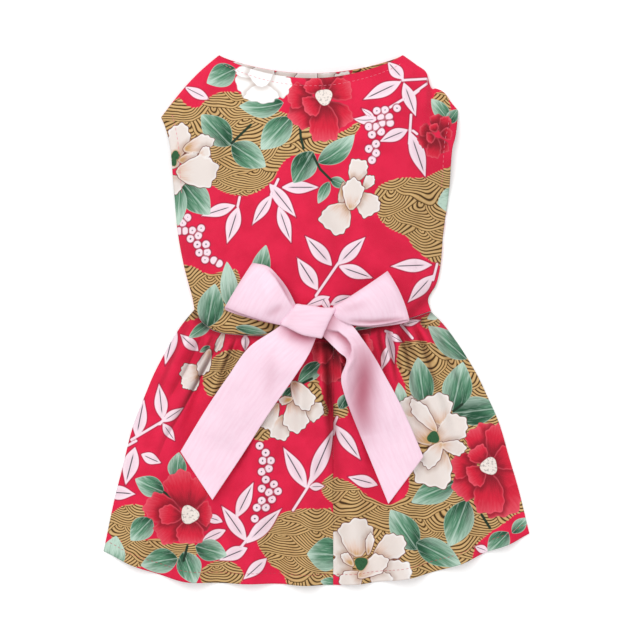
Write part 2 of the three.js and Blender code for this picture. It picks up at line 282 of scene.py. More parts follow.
@dataclass(frozen=True)
class PrintTable:
    """Everything that is printed on one panel, in chart steps.

    Attributes:
        waves: Outlines of the patches of gold waves.
        leaves_low: Leaves under the others.
        leaves_high: Leaves over the others.
        sprigs: Leaves of the white sprigs.
        shoots: Stems of the white sprigs.
        berries: Middles of the white berries.
        stems: Dark stems.
        blooms: The camellias.
        white_petals: Single white petals, placed on the chart.
        red_petals: Single red petals, placed on the chart.
        buds: Green middles of white flowers, each a place and a radius.
        hearts: Pale hearts of red flowers, each a place and a radius.
    """

    waves: tuple[Rows, ...] = ()
    leaves_low: Rows = ()
    leaves_high: Rows = ()
    sprigs: Rows = ()
    shoots: tuple[Rows, ...] = ()
    berries: Rows = ()
    stems: tuple[Rows, ...] = ()
    blooms: tuple[Bloom, ...] = ()
    white_petals: Rows = ()
    red_petals: Rows = ()
    buds: Rows = ()
    hearts: Rows = ()


def oval(x: float, y: float, half_width: float, half_height: float) -> Rows:
    """Returns the outline of an oval patch."""
    angles = np.linspace(0, TURN, 16, endpoint=False)
    return tuple((x + half_width * math.cos(a), y + half_height * math.sin(a)) for a in angles)


BACK_PRINT = PrintTable(
    waves=(
        ((150, 118), (163, 112), (179, 96), (184, 104), (192, 109), (200, 109), (206, 102), (215, 96),
         (226, 94), (241, 95), (250, 102), (262, 110), (285, 116), (300, 124), (304, 150), (297, 157),
         (286, 162), (279, 172), (273, 184), (260, 194), (247, 198.5), (232, 196), (222, 192.5),
         (212, 185), (195, 180), (175, 150), (160, 130)),
        ((296, 122), (310, 132), (330, 138), (345, 135), (358, 124), (360, 128), (356, 136), (345, 146),
         (336, 154), (325, 157), (312, 156), (302, 157), (290, 160), (285, 150)),
        ((374, 196), (375, 191), (383, 185), (401, 179), (424, 180), (437, 172), (462, 162), (462, 262),
         (441, 266), (436, 263.6), (427, 259), (419, 253), (411, 246), (407, 237), (396, 233),
         (387, 228.5), (381, 223.5), (376, 215)),
        ((165, 262), (184, 265.5), (190, 265.5), (198, 269), (206, 274.4), (215, 274.4), (225, 272),
         (240, 268), (243, 300), (232, 312), (262, 322), (290, 326), (290, 350), (165, 350)),
        ((436, 92), (446, 92), (450, 104), (452, 120), (440, 118), (432, 100)),
    ),
    leaves_low=(
        (207, 84, 236, 70, 26, 0.05), (202, 116, 232, 148, 27, -0.1), (262, 153, 291, 121, 27, 0.1),
        (211, 216, 184, 184, 28), (294, 186, 313, 155, 25, -0.3), (347, 189, 330, 182, 11),
        (431, 99, 449, 122, 16, 0.1), (437, 204, 462, 198, 26, 0.4), (228, 262, 232, 310, 18, 0.4),
        (190, 337, 207, 325, 11), (378, 326, 352, 331, 10, -0.4),
    ),
    leaves_high=(
        (240, 109, 284, 106, 22, 0, 3), (267, 170, 233, 147, 26), (178, 226, 180, 186, 17, 0.2),
        (354, 138, 318, 166, 21, 0.1, -3), (318, 206, 329, 184.5, 11, 0.1), (458, 109, 447, 124, 12, -0.2),
        (216, 284, 207, 327, 27), (267, 246, 257, 287, 19), (268, 333, 236, 327, 9),
    ),
    sprigs=(
        (183, 86, 210, 101, 10), (387, 62, 403, 81, 13), (362, 103, 401, 83, 14), (415, 119, 403, 84, 13),
        (378, 145, 407, 132, 12), (425, 179, 409, 134, 15), (202, 217, 237, 207, 12),
        (228, 245, 240, 208, 14), (253, 227, 273, 197, 11), (297, 220, 270, 186, 13),
        (292, 245, 279, 208, 12), (320, 190, 282, 190, 12), (305, 237, 332, 267, 14),
        (365, 238, 337, 266, 14), (297, 258, 318, 291, 15), (373, 279, 338, 267, 13),
        (306, 306, 330, 297, 9), (330, 311, 321, 296, 8), (352, 296, 330, 305, 10),
        (389, 267, 432, 265, 13), (407, 303, 433, 275, 13), (352, 122, 378, 121, 9, 0, 2),
        (360, 111, 374, 121, 5),
    ),
    shoots=(
        ((402, 82), (427, 79)), ((410, 117), (408, 146)), ((427, 84), (411, 96), (388, 111)),
        ((411, 98), (418, 92)), ((239, 208), (241, 199)), ((316, 296), (338, 264)), ((374, 122), (388, 120)),
        ((433, 280), (437, 264)), ((272, 197), (279, 182)), ((412, 133), (416, 136)),
    ),
    berries=(
        (376, 114), (384, 113), (396, 111), (388, 120), (380, 121), (389, 126), (381, 126), (368, 130),
        (375, 130), (371, 138), (380, 135), (375, 147), (368, 152), (375, 156), (371, 163), (188, 218),
        (183, 223), (179, 231), (185, 231), (193, 231), (202, 229), (191, 239), (199, 236), (198, 245),
        (207, 245), (200, 253), (208, 253), (206, 260), (215, 261), (220, 264),
    ),
    stems=(
        ((300.5, 130), (301, 140), (304, 152)), ((314, 160), (320, 172), (331, 183)),
        ((233, 146), (252, 128)),
    ),
    blooms=(Bloom(324, 100, 0.95), Bloom(437, 136, 0.5, 15, -0.3, heart=False)),
    white_petals=(
        (180, 158, 180, 124, 22, 0), (183, 151, 215, 142, 17, 1, -0.3), (176, 173, 219, 173, 31, 2, 0.2),
        (200, 156, 212, 152, 12, 2), (178, 161, 200, 160, 13, 1, -0.5), (168, 176, 180, 192, 20, 0),
        (262, 82, 237, 84, 30, 0, 3), (263, 86, 262, 106, 32, 1, 3), (265, 84, 291, 92, 22, 0, 3),
        (250, 80, 247, 66, 24, 1, 3), (275, 84, 276, 70, 26, 0, 3), (263, 90, 261, 66, 24, 2, 3),
        (182, 156, 163, 140, 24, 0), (180, 166, 166, 158, 18, 0, 0.4),
        (352, 186, 361, 162, 19, 0), (363, 192, 372, 178, 11, 1), (350, 213, 354, 181, 20, 2),
        (357, 196, 375, 215, 24, 0), (347, 206, 327, 232, 30, 1), (350, 210, 359, 201, 7, 2),
        (343, 184, 340, 208, 7, 0, -0.9), (344, 205, 334, 213, 7, 0, -0.9),
    ),
    buds=((176, 156, 4.5), (174, 163, 3.5)),
)

NECK_PRINT = PrintTable(
    waves=(((351, 95), (353, 60), (372, 50), (410, 40), (410, 95)),),
    buds=((236, 67, 1.8), (239, 68, 1.8), (242, 69, 1.7), (245, 70.5, 1.5), (252, 72, 1.4), (255, 73, 1.4),
          (279, 77, 1.4), (282, 78, 1.5), (286, 78.5, 1.4), (290, 79, 1.2), (300, 80, 1.1), (308, 80.5, 1.1)),
    white_petals=(
        (250, 88, 238, 58, 26, 0, 0.4), (268, 92, 259, 63, 24, 1, 0.4), (286, 94, 284, 68, 26, 0, 0.4),
        (306, 96, 306, 70, 24, 1, 0.4), (326, 96, 327, 71, 24, 0, 0.4), (343, 94, 344, 71, 19, 1, 0.4),
    ),
)

SKIRT_LEFT_PRINT = PrintTable(
    waves=(
        oval(262, 433, 10, 7), oval(222, 575, 22, 14),
        ((229, 349), (246, 351), (252, 362), (232, 386), (216, 396), (207, 394), (203, 382),
         (205, 369), (215, 356)),
        ((316, 376), (320, 385), (323, 398), (329, 410), (327, 416), (318, 413), (311, 395), (307, 383)),
        ((174, 326), (178, 315), (186, 306), (200, 310), (198, 319), (188, 320), (180, 324)),
        ((106, 520), (116, 510), (125, 505), (143, 504), (146, 512), (140, 530), (128, 545), (106, 535)),
        ((118, 540), (150, 540), (160, 538), (175, 545), (197, 541), (200, 556), (170, 562), (130, 568),
         (112, 560)),
        ((256, 530), (258, 522), (275, 519.5), (283, 512.5), (296, 509), (307, 507.5), (320, 509),
         (336, 508), (336, 592), (290, 592), (287, 583), (283, 573), (270, 565), (265, 555), (258, 545)),
        ((336, 471), (326, 478), (321, 484), (322, 492), (327, 499), (336, 505)),
    ),
    leaves_low=(
        (298, 382, 322, 362, 17, -0.3), (135, 479, 164, 492, 21), (131, 540, 152, 518, 23),
        (141, 565, 178, 558, 25), (227, 556, 196, 545, 22), (307, 553, 342, 556, 34),
    ),
    leaves_high=(
        (281, 402, 297, 386, 12, -0.3), (179, 452, 176, 480, 19), (116, 536, 110, 570, 26, 0.4),
        (189, 338, 212, 322, 12, -0.1), (200, 352, 211, 346, 6, -0.1),
        (196, 583, 184, 551, 25), (320, 581, 340, 585, 11),
    ),
    sprigs=(
        (165, 366, 175, 324, 13), (180, 334, 199, 351, 11), (159, 383, 163, 420, 13),
        (184.5, 407, 162, 422, 9), (175.5, 441, 163, 423, 9), (144, 398, 136, 438, 14),
        (125, 486, 135, 447, 16), (162, 463, 141, 454, 11), (136, 494, 104, 492, 14),
        (246, 351, 246, 334, 8),
        (202, 514, 223, 522, 9), (200, 541, 226, 530, 10), (221, 505, 247, 541, 14),
        (254, 481, 236, 518, 13), (218, 561, 248, 547, 13), (282, 508, 246, 543, 14),
        (283, 446, 307, 488, 15), (334, 428, 310, 484, 15), (325, 486, 309, 486, 8),
        (243, 579, 267, 558, 12),
    ),
    shoots=(
        ((131, 440), (162, 421.5)), ((293, 510), (308, 486), (316, 460)), ((240, 548), (262, 520)),
        ((127, 446), (136, 441)), ((165, 418), (160, 424)), ((175, 322), (172, 336)),
    ),
    berries=(
        (260, 445), (266, 452), (263, 460), (271, 460), (262, 471), (269, 468), (266, 479), (274, 484),
        (262, 488), (269, 492), (278, 491), (262, 500), (272, 499), (257, 507), (266, 507), (255, 518),
    ),
    stems=(((300, 384), (312, 378)), ((164, 492), (176, 502)), ((184, 560), (188, 545))),
    blooms=(SEAM_CAMELLIA,),
    white_petals=(
        (292, 380, 311, 408, 20, 2), (294, 397, 297, 432, 24, 1), (306, 405, 322, 415, 20, 0),
        (283, 414, 279, 440, 20, 0), (279, 402, 265, 429, 14, 0), (294, 398, 279, 401, 9, 2, -0.9),
        (211, 348, 201, 375, 13, 1), (205, 370, 180, 373, 17, 0, -0.2), (201, 374, 182, 386, 12, 0, -0.2),
        (199, 375, 190, 390, 12, 0), (225, 330, 217, 352, 8, 0),
    ),
    red_petals=(
        (187, 509, 177, 471, 30, 0), (192, 509, 204, 476, 21, 0), (181, 513, 145, 504, 27, 1),
        (184, 519, 158, 539, 25, 1), (191, 518, 190, 543, 28, 2), (183, 516, 159, 514, 19, 2),
        (196, 513, 212, 513, 24, 1), (196, 517, 206, 530, 18, 0),
    ),
    hearts=((190, 514, 9),),
)

SKIRT_RIGHT_PRINT = PrintTable(
    waves=(
        ((328, 475), (346, 480), (355, 485), (365, 494), (377, 502), (388, 506), (400, 500), (410, 490),
         (408, 470), (405, 400), (406, 387), (402, 377), (395.5, 363), (397, 354), (399, 342),
         (414, 340.5), (428, 342), (440, 346), (500, 346), (545, 500), (545, 512), (518, 512),
         (508, 520), (492, 530), (484, 538), (474, 546), (470, 570), (440, 592), (328, 592)),
        oval(430, 322, 10, 7), ((330, 404), (338, 402), (349, 408), (346, 417), (334, 417), (328, 413)),
    ),
    leaves_low=(
        (428, 326, 467, 359, 23, 0.1), (417, 357, 424, 406, 25), (502, 408, 452, 413, 29, -0.4),
        (411, 502, 455, 482, 25), (390, 509, 417, 549, 28), (488, 553, 508, 532, 21),
        (398, 382, 402, 410, 13, 0.4), (349, 392, 339, 408, 12, -0.4), (427, 319, 441, 312, 9, 0.5),
    ),
    leaves_high=(
        (463, 362, 452, 410, 30), (449, 546, 467, 500, 30), (461, 565, 416, 542, 26),
        (528, 518, 512, 533, 13),
    ),
    sprigs=(
        (361, 460, 334.5, 424, 13), (347, 476, 378, 485, 12), (394, 364, 386, 331, 8),
        (381, 370, 389, 344, 9), (402, 342, 388, 334, 7), (474, 546, 489, 552, 8),
        (421, 320, 402, 325, 6),
    ),
    shoots=(
        ((337, 416.5), (334.4, 423), (333.4, 434)), ((385, 331), (391, 333)),
        ((400.7, 325), (411.5, 338)),
    ),
    stems=(((481.6, 514.6), (490, 528)), ((453, 411), (462, 404))),
    blooms=(Bloom(489, 466), SEAM_CAMELLIA),
    white_petals=(
        (438, 425, 435, 393, 31, 1), (436, 440, 465, 419, 27, 1, 0.1), (440, 444, 466, 450, 15, 2),
        (442, 441, 424, 467, 17, 2), (440, 446, 428, 487, 38, 1), (412, 420, 407, 396, 18, 0),
        (437, 432, 411, 400, 15, 2), (432, 444, 406, 415, 27, 0, -0.3), (446, 440, 432, 424, 20, 0, -0.4),
        (352, 560, 331, 534, 25, 0), (358, 557, 355, 518, 33, 1), (374, 558, 404, 538, 24, 0),
        (376, 580, 411, 569, 28, 0, 0.5), (352, 572, 332, 560, 24, 0), (362, 572, 342, 587, 22, 1),
        (357, 577, 387, 558, 19, 2), (368, 556, 371, 533, 9, 2, -0.3), (354, 566, 342, 553, 10, 2, -0.7),
        (370, 578, 392, 584, 20, 1, 0.5),
    ),
    red_petals=(
        (482, 462, 502, 427, 40, 0), (486, 466, 524, 462, 36, 0), (486, 472, 512, 514, 40, 0),
    ),
    buds=((361, 563, 6.5), (433, 437, 6)),
)


class PrintFields:
    """The distances of every vertex of a panel to what is printed on it, kept as attributes.

    A field is more than 0 inside its shape and less outside, in chart steps.
    """

    outside = -60.0
    leaf_slimness = 0.86
    sprig_slimness = 1.25
    shoot_half_width = 1.2
    stem_half_width = 1.3
    berry_radius = 4.2
    berry_parting = 0.4
    heart_radius = 8.5

    def __init__(self, chart: Array, table: PrintTable) -> None:
        """Works out the fields.

        Args:
            chart: The vertices' chart places.
            table: What is printed.
        """
        self.chart = chart
        self.fields: dict[str, Array] = {}
        self.plain("waves")
        for outline in table.waves:
            self.raise_plain("waves", self.patch(outline))
        for name, rows in (("leaf_low", table.leaves_low), ("leaf_high", table.leaves_high)):
            self.shaped(name)
            for row in rows:
                self.raise_shaped(name, self.leaf(Leaf(*row), self.leaf_slimness))
        self.shaped("sprig")
        for row in table.sprigs:
            self.raise_shaped("sprig", self.leaf(Leaf(*row), self.sprig_slimness))
        for line in table.shoots:
            self.raise_shaped("sprig", self.line(line, self.shoot_half_width))
        self.plain("berry")
        if table.berries:
            away = np.sort([np.hypot(chart[:, 0] - x, chart[:, 1] - y) for x, y in table.berries], axis=0)
            apart = 0.55 * (away[1] - away[0]) - self.berry_parting
            self.fields["berry"] = np.minimum(self.berry_radius - away[0], apart)
        self.plain("stem")
        for line in table.stems:
            self.raise_plain("stem", self.line(line, self.stem_half_width)[:, 0])
        for kind in KINDS:
            for layer in range(PETAL_LAYERS):
                self.shaped(f"{kind}_{layer}")
            self.plain(f"{kind}_heart")
        for bloom in table.blooms:
            self.bloom(bloom)
        for kind, rows in (("peony", table.white_petals), ("camellia", table.red_petals)):
            for number, row in enumerate(rows):
                petal = Petal(*row)
                base, tip = np.array((petal.base_x, petal.base_y)), np.array((petal.tip_x, petal.tip_y))
                shape = self.petal(base, tip, petal.width, number)
                shape[:, 1] += petal.tone
                self.raise_shaped(f"{kind}_{petal.layer}", shape)
        for kind, rows in (("peony", table.buds), ("camellia", table.hearts)):
            for x, y, radius in rows:
                self.heart(kind, x, y, radius)

    def plain(self, name: str) -> None:
        """Starts a field of one number a vertex."""
        self.fields[name] = np.full(len(self.chart), self.outside)

    def shaped(self, name: str) -> None:
        """Starts a field that also keeps two places within the shape."""
        self.fields[name] = np.tile((self.outside, 0.0, 0.0), (len(self.chart), 1))

    def raise_plain(self, name: str, shape: Array) -> None:
        """Adds a shape to a plain field."""
        self.fields[name] = np.maximum(self.fields[name], shape)

    def raise_shaped(self, name: str, shape: Array) -> None:
        """Adds a shape to a shaped field."""
        known = self.fields[name]
        self.fields[name] = np.where(shape[:, :1] > known[:, :1], shape, known)

    def patch(self, outline: Rows) -> Array:
        """Returns the field of a closed outline whose corners are cut round."""
        corners = np.array(outline, float)
        for _ in range(2):
            after = np.roll(corners, -1, axis=0)
            near, far = 0.75 * corners + 0.25 * after, 0.25 * corners + 0.75 * after
            corners = np.stack((near, far), 1).reshape(-1, 2)
        closed = tuple(map(tuple, np.vstack((corners, corners[:1]))))
        away, *_ = away_from_line(self.chart, closed)
        inside = np.zeros(len(self.chart), bool)
        x, y = self.chart.T
        for (ax, ay), (bx, by) in zip(closed, closed[1:]):
            crosses = (ay > y) != (by > y)
            with np.errstate(divide="ignore", invalid="ignore"):
                inside ^= crosses & (x < (bx - ax) * (y - ay) / (by - ay) + ax)
        return np.where(inside, away, -away)

    def line(self, line: Rows, half_width: float) -> Array:
        """Returns the shaped field of a stem, with no vein."""
        away, share, _ = away_from_line(self.chart, line)
        return np.column_stack((half_width - away, np.full(len(away), 2.0), share))

    def leaf(self, leaf: Leaf, slimness: float) -> Array:
        """Returns the shaped field of a leaf: its edge, the place across it and from tip to base."""
        tip, base = np.array((leaf.tip_x, leaf.tip_y)), np.array((leaf.base_x, leaf.base_y))
        length = np.hypot(*(base - tip))
        ahead = (base - tip) / length
        from_tip = self.chart - tip
        along = from_tip @ ahead / length
        held = np.clip(along, 0, 1)
        across = from_tip @ np.array((-ahead[1], ahead[0])) - leaf.bend * 4 * held * (1 - held)
        half = leaf.width / 2 * np.sin(np.pi * (1 - held) ** 0.85) ** slimness
        beyond = length * np.maximum(np.maximum(-along, along - 1), 0)
        edge = (half - np.abs(across)) * 0.9 - beyond
        return np.column_stack((edge, across / (leaf.width / 2), along - leaf.tone))

    def bloom(self, bloom: Bloom) -> None:
        """Adds a camellia from its scaled and turned petals."""
        angle = math.radians(bloom.turn)
        turn = np.array(((math.cos(angle), -math.sin(angle)), (math.sin(angle), math.cos(angle))))
        middle = np.array((bloom.x, bloom.y))
        for number, petal in enumerate(CAMELLIA):
            base = middle + turn @ np.array((petal.base_x, petal.base_y)) * bloom.scale
            tip = middle + turn @ np.array((petal.tip_x, petal.tip_y)) * bloom.scale
            shape = self.petal(base, tip, petal.width * bloom.scale, number)
            shape[:, 1] += bloom.tone
            self.raise_shaped(f"camellia_{petal.layer}", shape)
        if bloom.heart:
            self.heart("camellia", bloom.x, bloom.y, self.heart_radius * bloom.scale)

    def heart(self, kind: str, x: float, y: float, radius: float) -> None:
        """Adds the rounded middle of a flower."""
        from_x, from_y = self.chart[:, 0] - x, self.chart[:, 1] - y
        edge = radius * (1 + 0.10 * np.sin(3 * np.arctan2(from_y, from_x) + x))
        self.raise_plain(f"{kind}_heart", edge - np.hypot(from_x, from_y))

    def petal(self, base: Array, tip: Array, width: float, number: int) -> Array:
        """Returns the shaped field of a petal: its edge, the place from base to tip and across it."""
        half = np.hypot(*(tip - base)) / 2
        ahead = (tip - base) / (2 * half)
        from_middle = self.chart - (base + tip) / 2
        along = from_middle @ ahead / half
        widened = width / 2 * np.clip(1 + 0.34 * along, 0.5, 1.3)
        across = from_middle @ np.array((-ahead[1], ahead[0])) / widened
        rho = np.maximum(np.hypot(along, across), 1e-4)
        angle = np.arctan2(across, along)
        ruffle = 0.05 * np.sin(11 * angle + 2.1 * number) + 0.06 * np.sin(5 * angle + 1.3 * number)
        ruffle *= 0.3 + 0.7 * ease_in(along + 0.5)
        slope = np.hypot(along / half, across / widened) / rho
        return np.column_stack(((1 + ruffle - rho) / slope, along, across))

    def store(self, mesh: bpy.types.Mesh) -> None:
        """Keeps the fields as attributes of the mesh."""
        for name, values in self.fields.items():
            store(mesh, name, values)


# Meshes


def linked(name: str, data: bpy.types.ID) -> bpy.types.Object:
    """Makes an object at the origin and puts it in the scene."""
    made = bpy.data.objects.new(name, data)
    bpy.context.scene.collection.objects.link(made)
    return made


def mesh_of(form: bmesh.types.BMesh, name: str) -> bpy.types.Mesh:
    """Turns a form into a mesh and frees it."""
    mesh = bpy.data.meshes.new(name)
    form.to_mesh(mesh)
    form.free()
    return mesh


def store(mesh: bpy.types.Mesh, name: str, values: Array) -> None:
    """Keeps a number or a vector for every vertex as an attribute of the mesh."""
    if values.ndim == 1:
        mesh.attributes.new(name, "FLOAT", "POINT").data.foreach_set("value", values.astype(np.float32))
        return
    padded = np.zeros((len(values), 3), np.float32)
    padded[:, : values.shape[1]] = values
    mesh.attributes.new(name, "FLOAT_VECTOR", "POINT").data.foreach_set("vector", padded.ravel())


def read_points(mesh: bpy.types.Mesh) -> Array:
    """Returns the places of a mesh's vertices, one a row."""
    flat = np.zeros(len(mesh.vertices) * 3)
    mesh.vertices.foreach_get("co", flat)
    return flat.reshape(-1, 3)


def thread_lengths(across: Array, down: Array, points: Array) -> Array:
    """Measures a sheet along its own surface, so that a weave follows it.

    Args:
        across: The share across of each vertex.
        down: The share down of each vertex.
        points: The vertices' places.

    Returns:
        How far each vertex lies across and down the cloth, in the points' unit.
    """
    order = np.lexsort((across.round(6), down.round(6)))
    columns = len(np.unique(across.round(6)))
    grid = points[order].reshape(-1, columns, 3)
    side = np.zeros(grid.shape[:2])
    side[:, 1:] = np.linalg.norm(np.diff(grid, axis=1), axis=2).cumsum(axis=1)
    side -= side[:, columns // 2, None]
    length = np.zeros(grid.shape[:2])
    length[1:] = np.linalg.norm(np.diff(grid, axis=0), axis=2).cumsum(axis=0)
    lengths = np.zeros((len(points), 2))
    lengths[order] = np.stack((side, length), 2).reshape(-1, 2)
    return lengths


@dataclass
class Sheet:
    """A sheet of cloth that is bent into its surface.

    Attributes:
        name: The piece's name.
        columns: Faces across.
        rows: Faces down.
        surface: Gives the outer side, in millimetres, for shares across and down.
        wall: The cloth's thickness in millimetres.
        faces_down: Whether the outer side is the lower one.
        middle: Whether the surface is the middle of the wall.
    """

    name: str
    columns: int
    rows: int
    surface: Surface
    wall: float
    faces_down: bool = False
    middle: bool = False
    points: Array = field(init=False, repr=False)
    across: Array = field(init=False, repr=False)
    down: Array = field(init=False, repr=False)

    def mesh(self) -> bpy.types.Mesh:
        """Makes the sheet's outer side as a mesh in metres, with its thread lengths."""
        grid = bmesh.new()
        bmesh.ops.create_grid(grid, x_segments=self.columns, y_segments=self.rows, size=0.5)
        if self.faces_down:
            bmesh.ops.reverse_faces(grid, faces=grid.faces)
        mesh = mesh_of(grid, self.name)
        flat = read_points(mesh)
        self.across, self.down = flat[:, 0] + 0.5, 0.5 - flat[:, 1]
        self.points = self.surface(self.across, self.down)
        mesh.vertices.foreach_set("co", (self.points * MM).ravel())
        store(mesh, "thread", thread_lengths(self.across, self.down, self.points))
        mesh.shade_smooth()
        return mesh

    def build(self, materials: tuple[bpy.types.Material, ...]) -> bpy.types.Object:
        """Makes the sheet with its wall.

        Args:
            materials: The outer side's material, and the inner side's.

        Returns:
            The piece.
        """
        mesh = self.mesh()
        for material in materials:
            mesh.materials.append(material)
        piece = linked(self.name, mesh)
        wall = piece.modifiers.new("wall", "SOLIDIFY")
        wall.thickness = self.wall * MM
        wall.offset = 0 if self.middle else -1
        wall.material_offset = len(materials) - 1
        return piece


def settle(piece: bpy.types.Object, finish: Finish, *nodes: str) -> bpy.types.Object:
    """Makes a piece ride on the dress, in place of the solids that it stands for.

    Args:
        piece: The piece.
        finish: The record's material slot of the piece; it is not used.
        *nodes: The solids that it replaces.

    Returns:
        The piece.
    """
    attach(piece, "root")
    if nodes:
        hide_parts(*nodes)
    log.info("%s: %d vertices, %s", piece.name, len(piece.data.vertices), ", ".join(nodes) or "added")
    return piece


@dataclass(frozen=True)
class Seam:
    """A row of stitches on a sheet.

    Attributes:
        name: The piece's name.
        stitch: The length of a stitch in millimetres.
        gap: The space between two stitches.
        thread: Half the thread's width.
    """

    name: str
    stitch: float = 2.4
    gap: float = 1.1
    thread: float = 0.17

    def build(self, surface: Surface, across: Array, down: Array,
              material: bpy.types.Material) -> bpy.types.Object:
        """Sews the row.

        Args:
            surface: The sheet's outer side.
            across: Shares across at points of the row.
            down: Shares down at points of the row.
            material: The thread's material.

        Returns:
            The piece.
        """
        route = surface(across, down)
        passed = np.concatenate(([0], np.linalg.norm(np.diff(route, axis=0), axis=1).cumsum()))
        seam = bmesh.new()
        for start in np.arange(self.gap, passed[-1] - self.stitch, self.stitch + self.gap):
            ends = [Vector([np.interp(at, passed, route[:, k]) for k in range(3)])
                    for at in (start, start + self.stitch)]
            ahead = (ends[1] - ends[0]).normalized()
            turned = ahead.to_track_quat("X", "Z").to_matrix().to_4x4()
            size = Matrix.Diagonal((self.stitch / 2, self.thread, self.thread, 1))
            middle = Matrix.Translation((ends[0] + ends[1]) / 2 + Vector((0, 0, self.thread / 3)))
            place = Matrix.Scale(MM, 4) @ middle @ turned @ size
            bmesh.ops.create_uvsphere(seam, u_segments=8, v_segments=6, radius=1, matrix=place)
        mesh = mesh_of(seam, self.name)
        mesh.shade_smooth()
        mesh.materials.append(material)
        return linked(self.name, mesh)


# Materials


class Board:
    """Lays out the nodes of one tree, so that a recipe reads as a line a step."""

    def __init__(self, tree: bpy.types.NodeTree) -> None:
        """Takes the tree to lay out."""
        self.tree = tree

    def node(self, kind: str, feeds: dict | None = None, **settings: object) -> bpy.types.Node:
        """Adds a node.

        Args:
            kind: The node's type, after "ShaderNode".
            feeds: A value or a socket for each input that is named.
            **settings: The node's own settings.

        Returns:
            The node.
        """
        made = self.tree.nodes.new("ShaderNode" + kind)
        for name, value in settings.items():
            setattr(made, name, value)
        for name, value in (feeds or {}).items():
            self.feed(made.inputs[name], value)
        return made

    def feed(self, socket: bpy.types.NodeSocket, value: object) -> None:
        """Links a socket to an input, or sets the input to a value."""
        if isinstance(value, bpy.types.NodeSocket):
            self.tree.links.new(value, socket)
        else:
            socket.default_value = value

    def sum(self, operation: str, *values: object) -> bpy.types.NodeSocket:
        """Returns the outcome of a Math node."""
        made = self.node("Math", operation=operation)
        for socket, value in zip(made.inputs, values):
            self.feed(socket, value)
        return made.outputs[0]

    def fade(self, value: object, low: float, high: float,
             start: float = 0.0, end: float = 1.0) -> bpy.types.NodeSocket:
        """Returns a value that goes smoothly from start to end between low and high."""
        made = self.node("MapRange", interpolation_type="SMOOTHSTEP")
        for number, part in enumerate((value, low, high, start, end)):
            self.feed(made.inputs[number], part)
        return made.outputs[0]

    def mix(self, share: object, under: object, over: object, blend: str = "MIX") -> bpy.types.NodeSocket:
        """Returns a colour between two others."""
        made = self.node("Mix", data_type="RGBA", blend_type=blend)
        for number, part in ((0, share), (6, under), (7, over)):
            self.feed(made.inputs[number], part)
        return made.outputs[2]

    def split(self, vector: bpy.types.NodeSocket) -> tuple[bpy.types.NodeSocket, ...]:
        """Returns the three parts of a vector."""
        return tuple(self.node("SeparateXYZ", {0: vector}).outputs)

    def join(self, x: object, y: object, z: object = 0.0) -> bpy.types.NodeSocket:
        """Returns the vector of three parts."""
        return self.node("CombineXYZ", {0: x, 1: y, 2: z}).outputs[0]

    def noise(self, vector: bpy.types.NodeSocket, scale: float, detail: float = 2.0,
              output: int = 0) -> bpy.types.NodeSocket:
        """Returns a Noise texture's value, or its colour as output 1."""
        return self.node("TexNoise", {"Vector": vector, "Scale": scale, "Detail": detail}).outputs[output]

    def scaled(self, vector: bpy.types.NodeSocket, x: float, y: float,
               z: float = 1.0) -> bpy.types.NodeSocket:
        """Returns a vector with its parts scaled."""
        made = self.node("VectorMath", operation="MULTIPLY")
        self.feed(made.inputs[0], vector)
        made.inputs[1].default_value = (x, y, z)
        return made.outputs[0]

    def attribute(self, name: str, vector: bool = False) -> bpy.types.NodeSocket:
        """Returns a vertex attribute."""
        made = self.node("Attribute", attribute_name=name)
        return made.outputs["Vector" if vector else "Fac"]


def colour(code: int) -> tuple[float, float, float, float]:
    """Returns the linear colour of a six-digit colour code."""
    parts = [(code >> shift & 255) / 255 for shift in (16, 8, 0)]
    return (*(c / 12.92 if c <= 0.04045 else ((c + 0.055) / 1.055) ** 2.4 for c in parts), 1.0)


def started(name: str) -> tuple[bpy.types.Material, Board, bpy.types.bpy_prop_collection]:
    """Starts a material.

    Args:
        name: Its name.

    Returns:
        The material, its board and its shader's inputs.
    """
    made = bpy.data.materials.new(name)
    made.use_nodes = True
    return made, Board(made.node_tree), made.node_tree.nodes["Principled BSDF"].inputs


def group(name: str, inputs: dict[str, str], outputs: dict[str, str]) -> tuple[Board, dict, bpy.types.Node]:
    """Starts a node group.

    Args:
        name: The group's name.
        inputs: The kind of socket of each input.
        outputs: The kind of socket of each output.

    Returns:
        Its board, its inputs by name and its output node.
    """
    tree = bpy.data.node_groups.new(name, "ShaderNodeTree")
    for kind, sockets in (("INPUT", inputs), ("OUTPUT", outputs)):
        for label, socket in sockets.items():
            tree.interface.new_socket(label, in_out=kind, socket_type="NodeSocket" + socket)
    given = tree.nodes.new("NodeGroupInput")
    return Board(tree), {s.name: s for s in given.outputs if s.name}, tree.nodes.new("NodeGroupOutput")


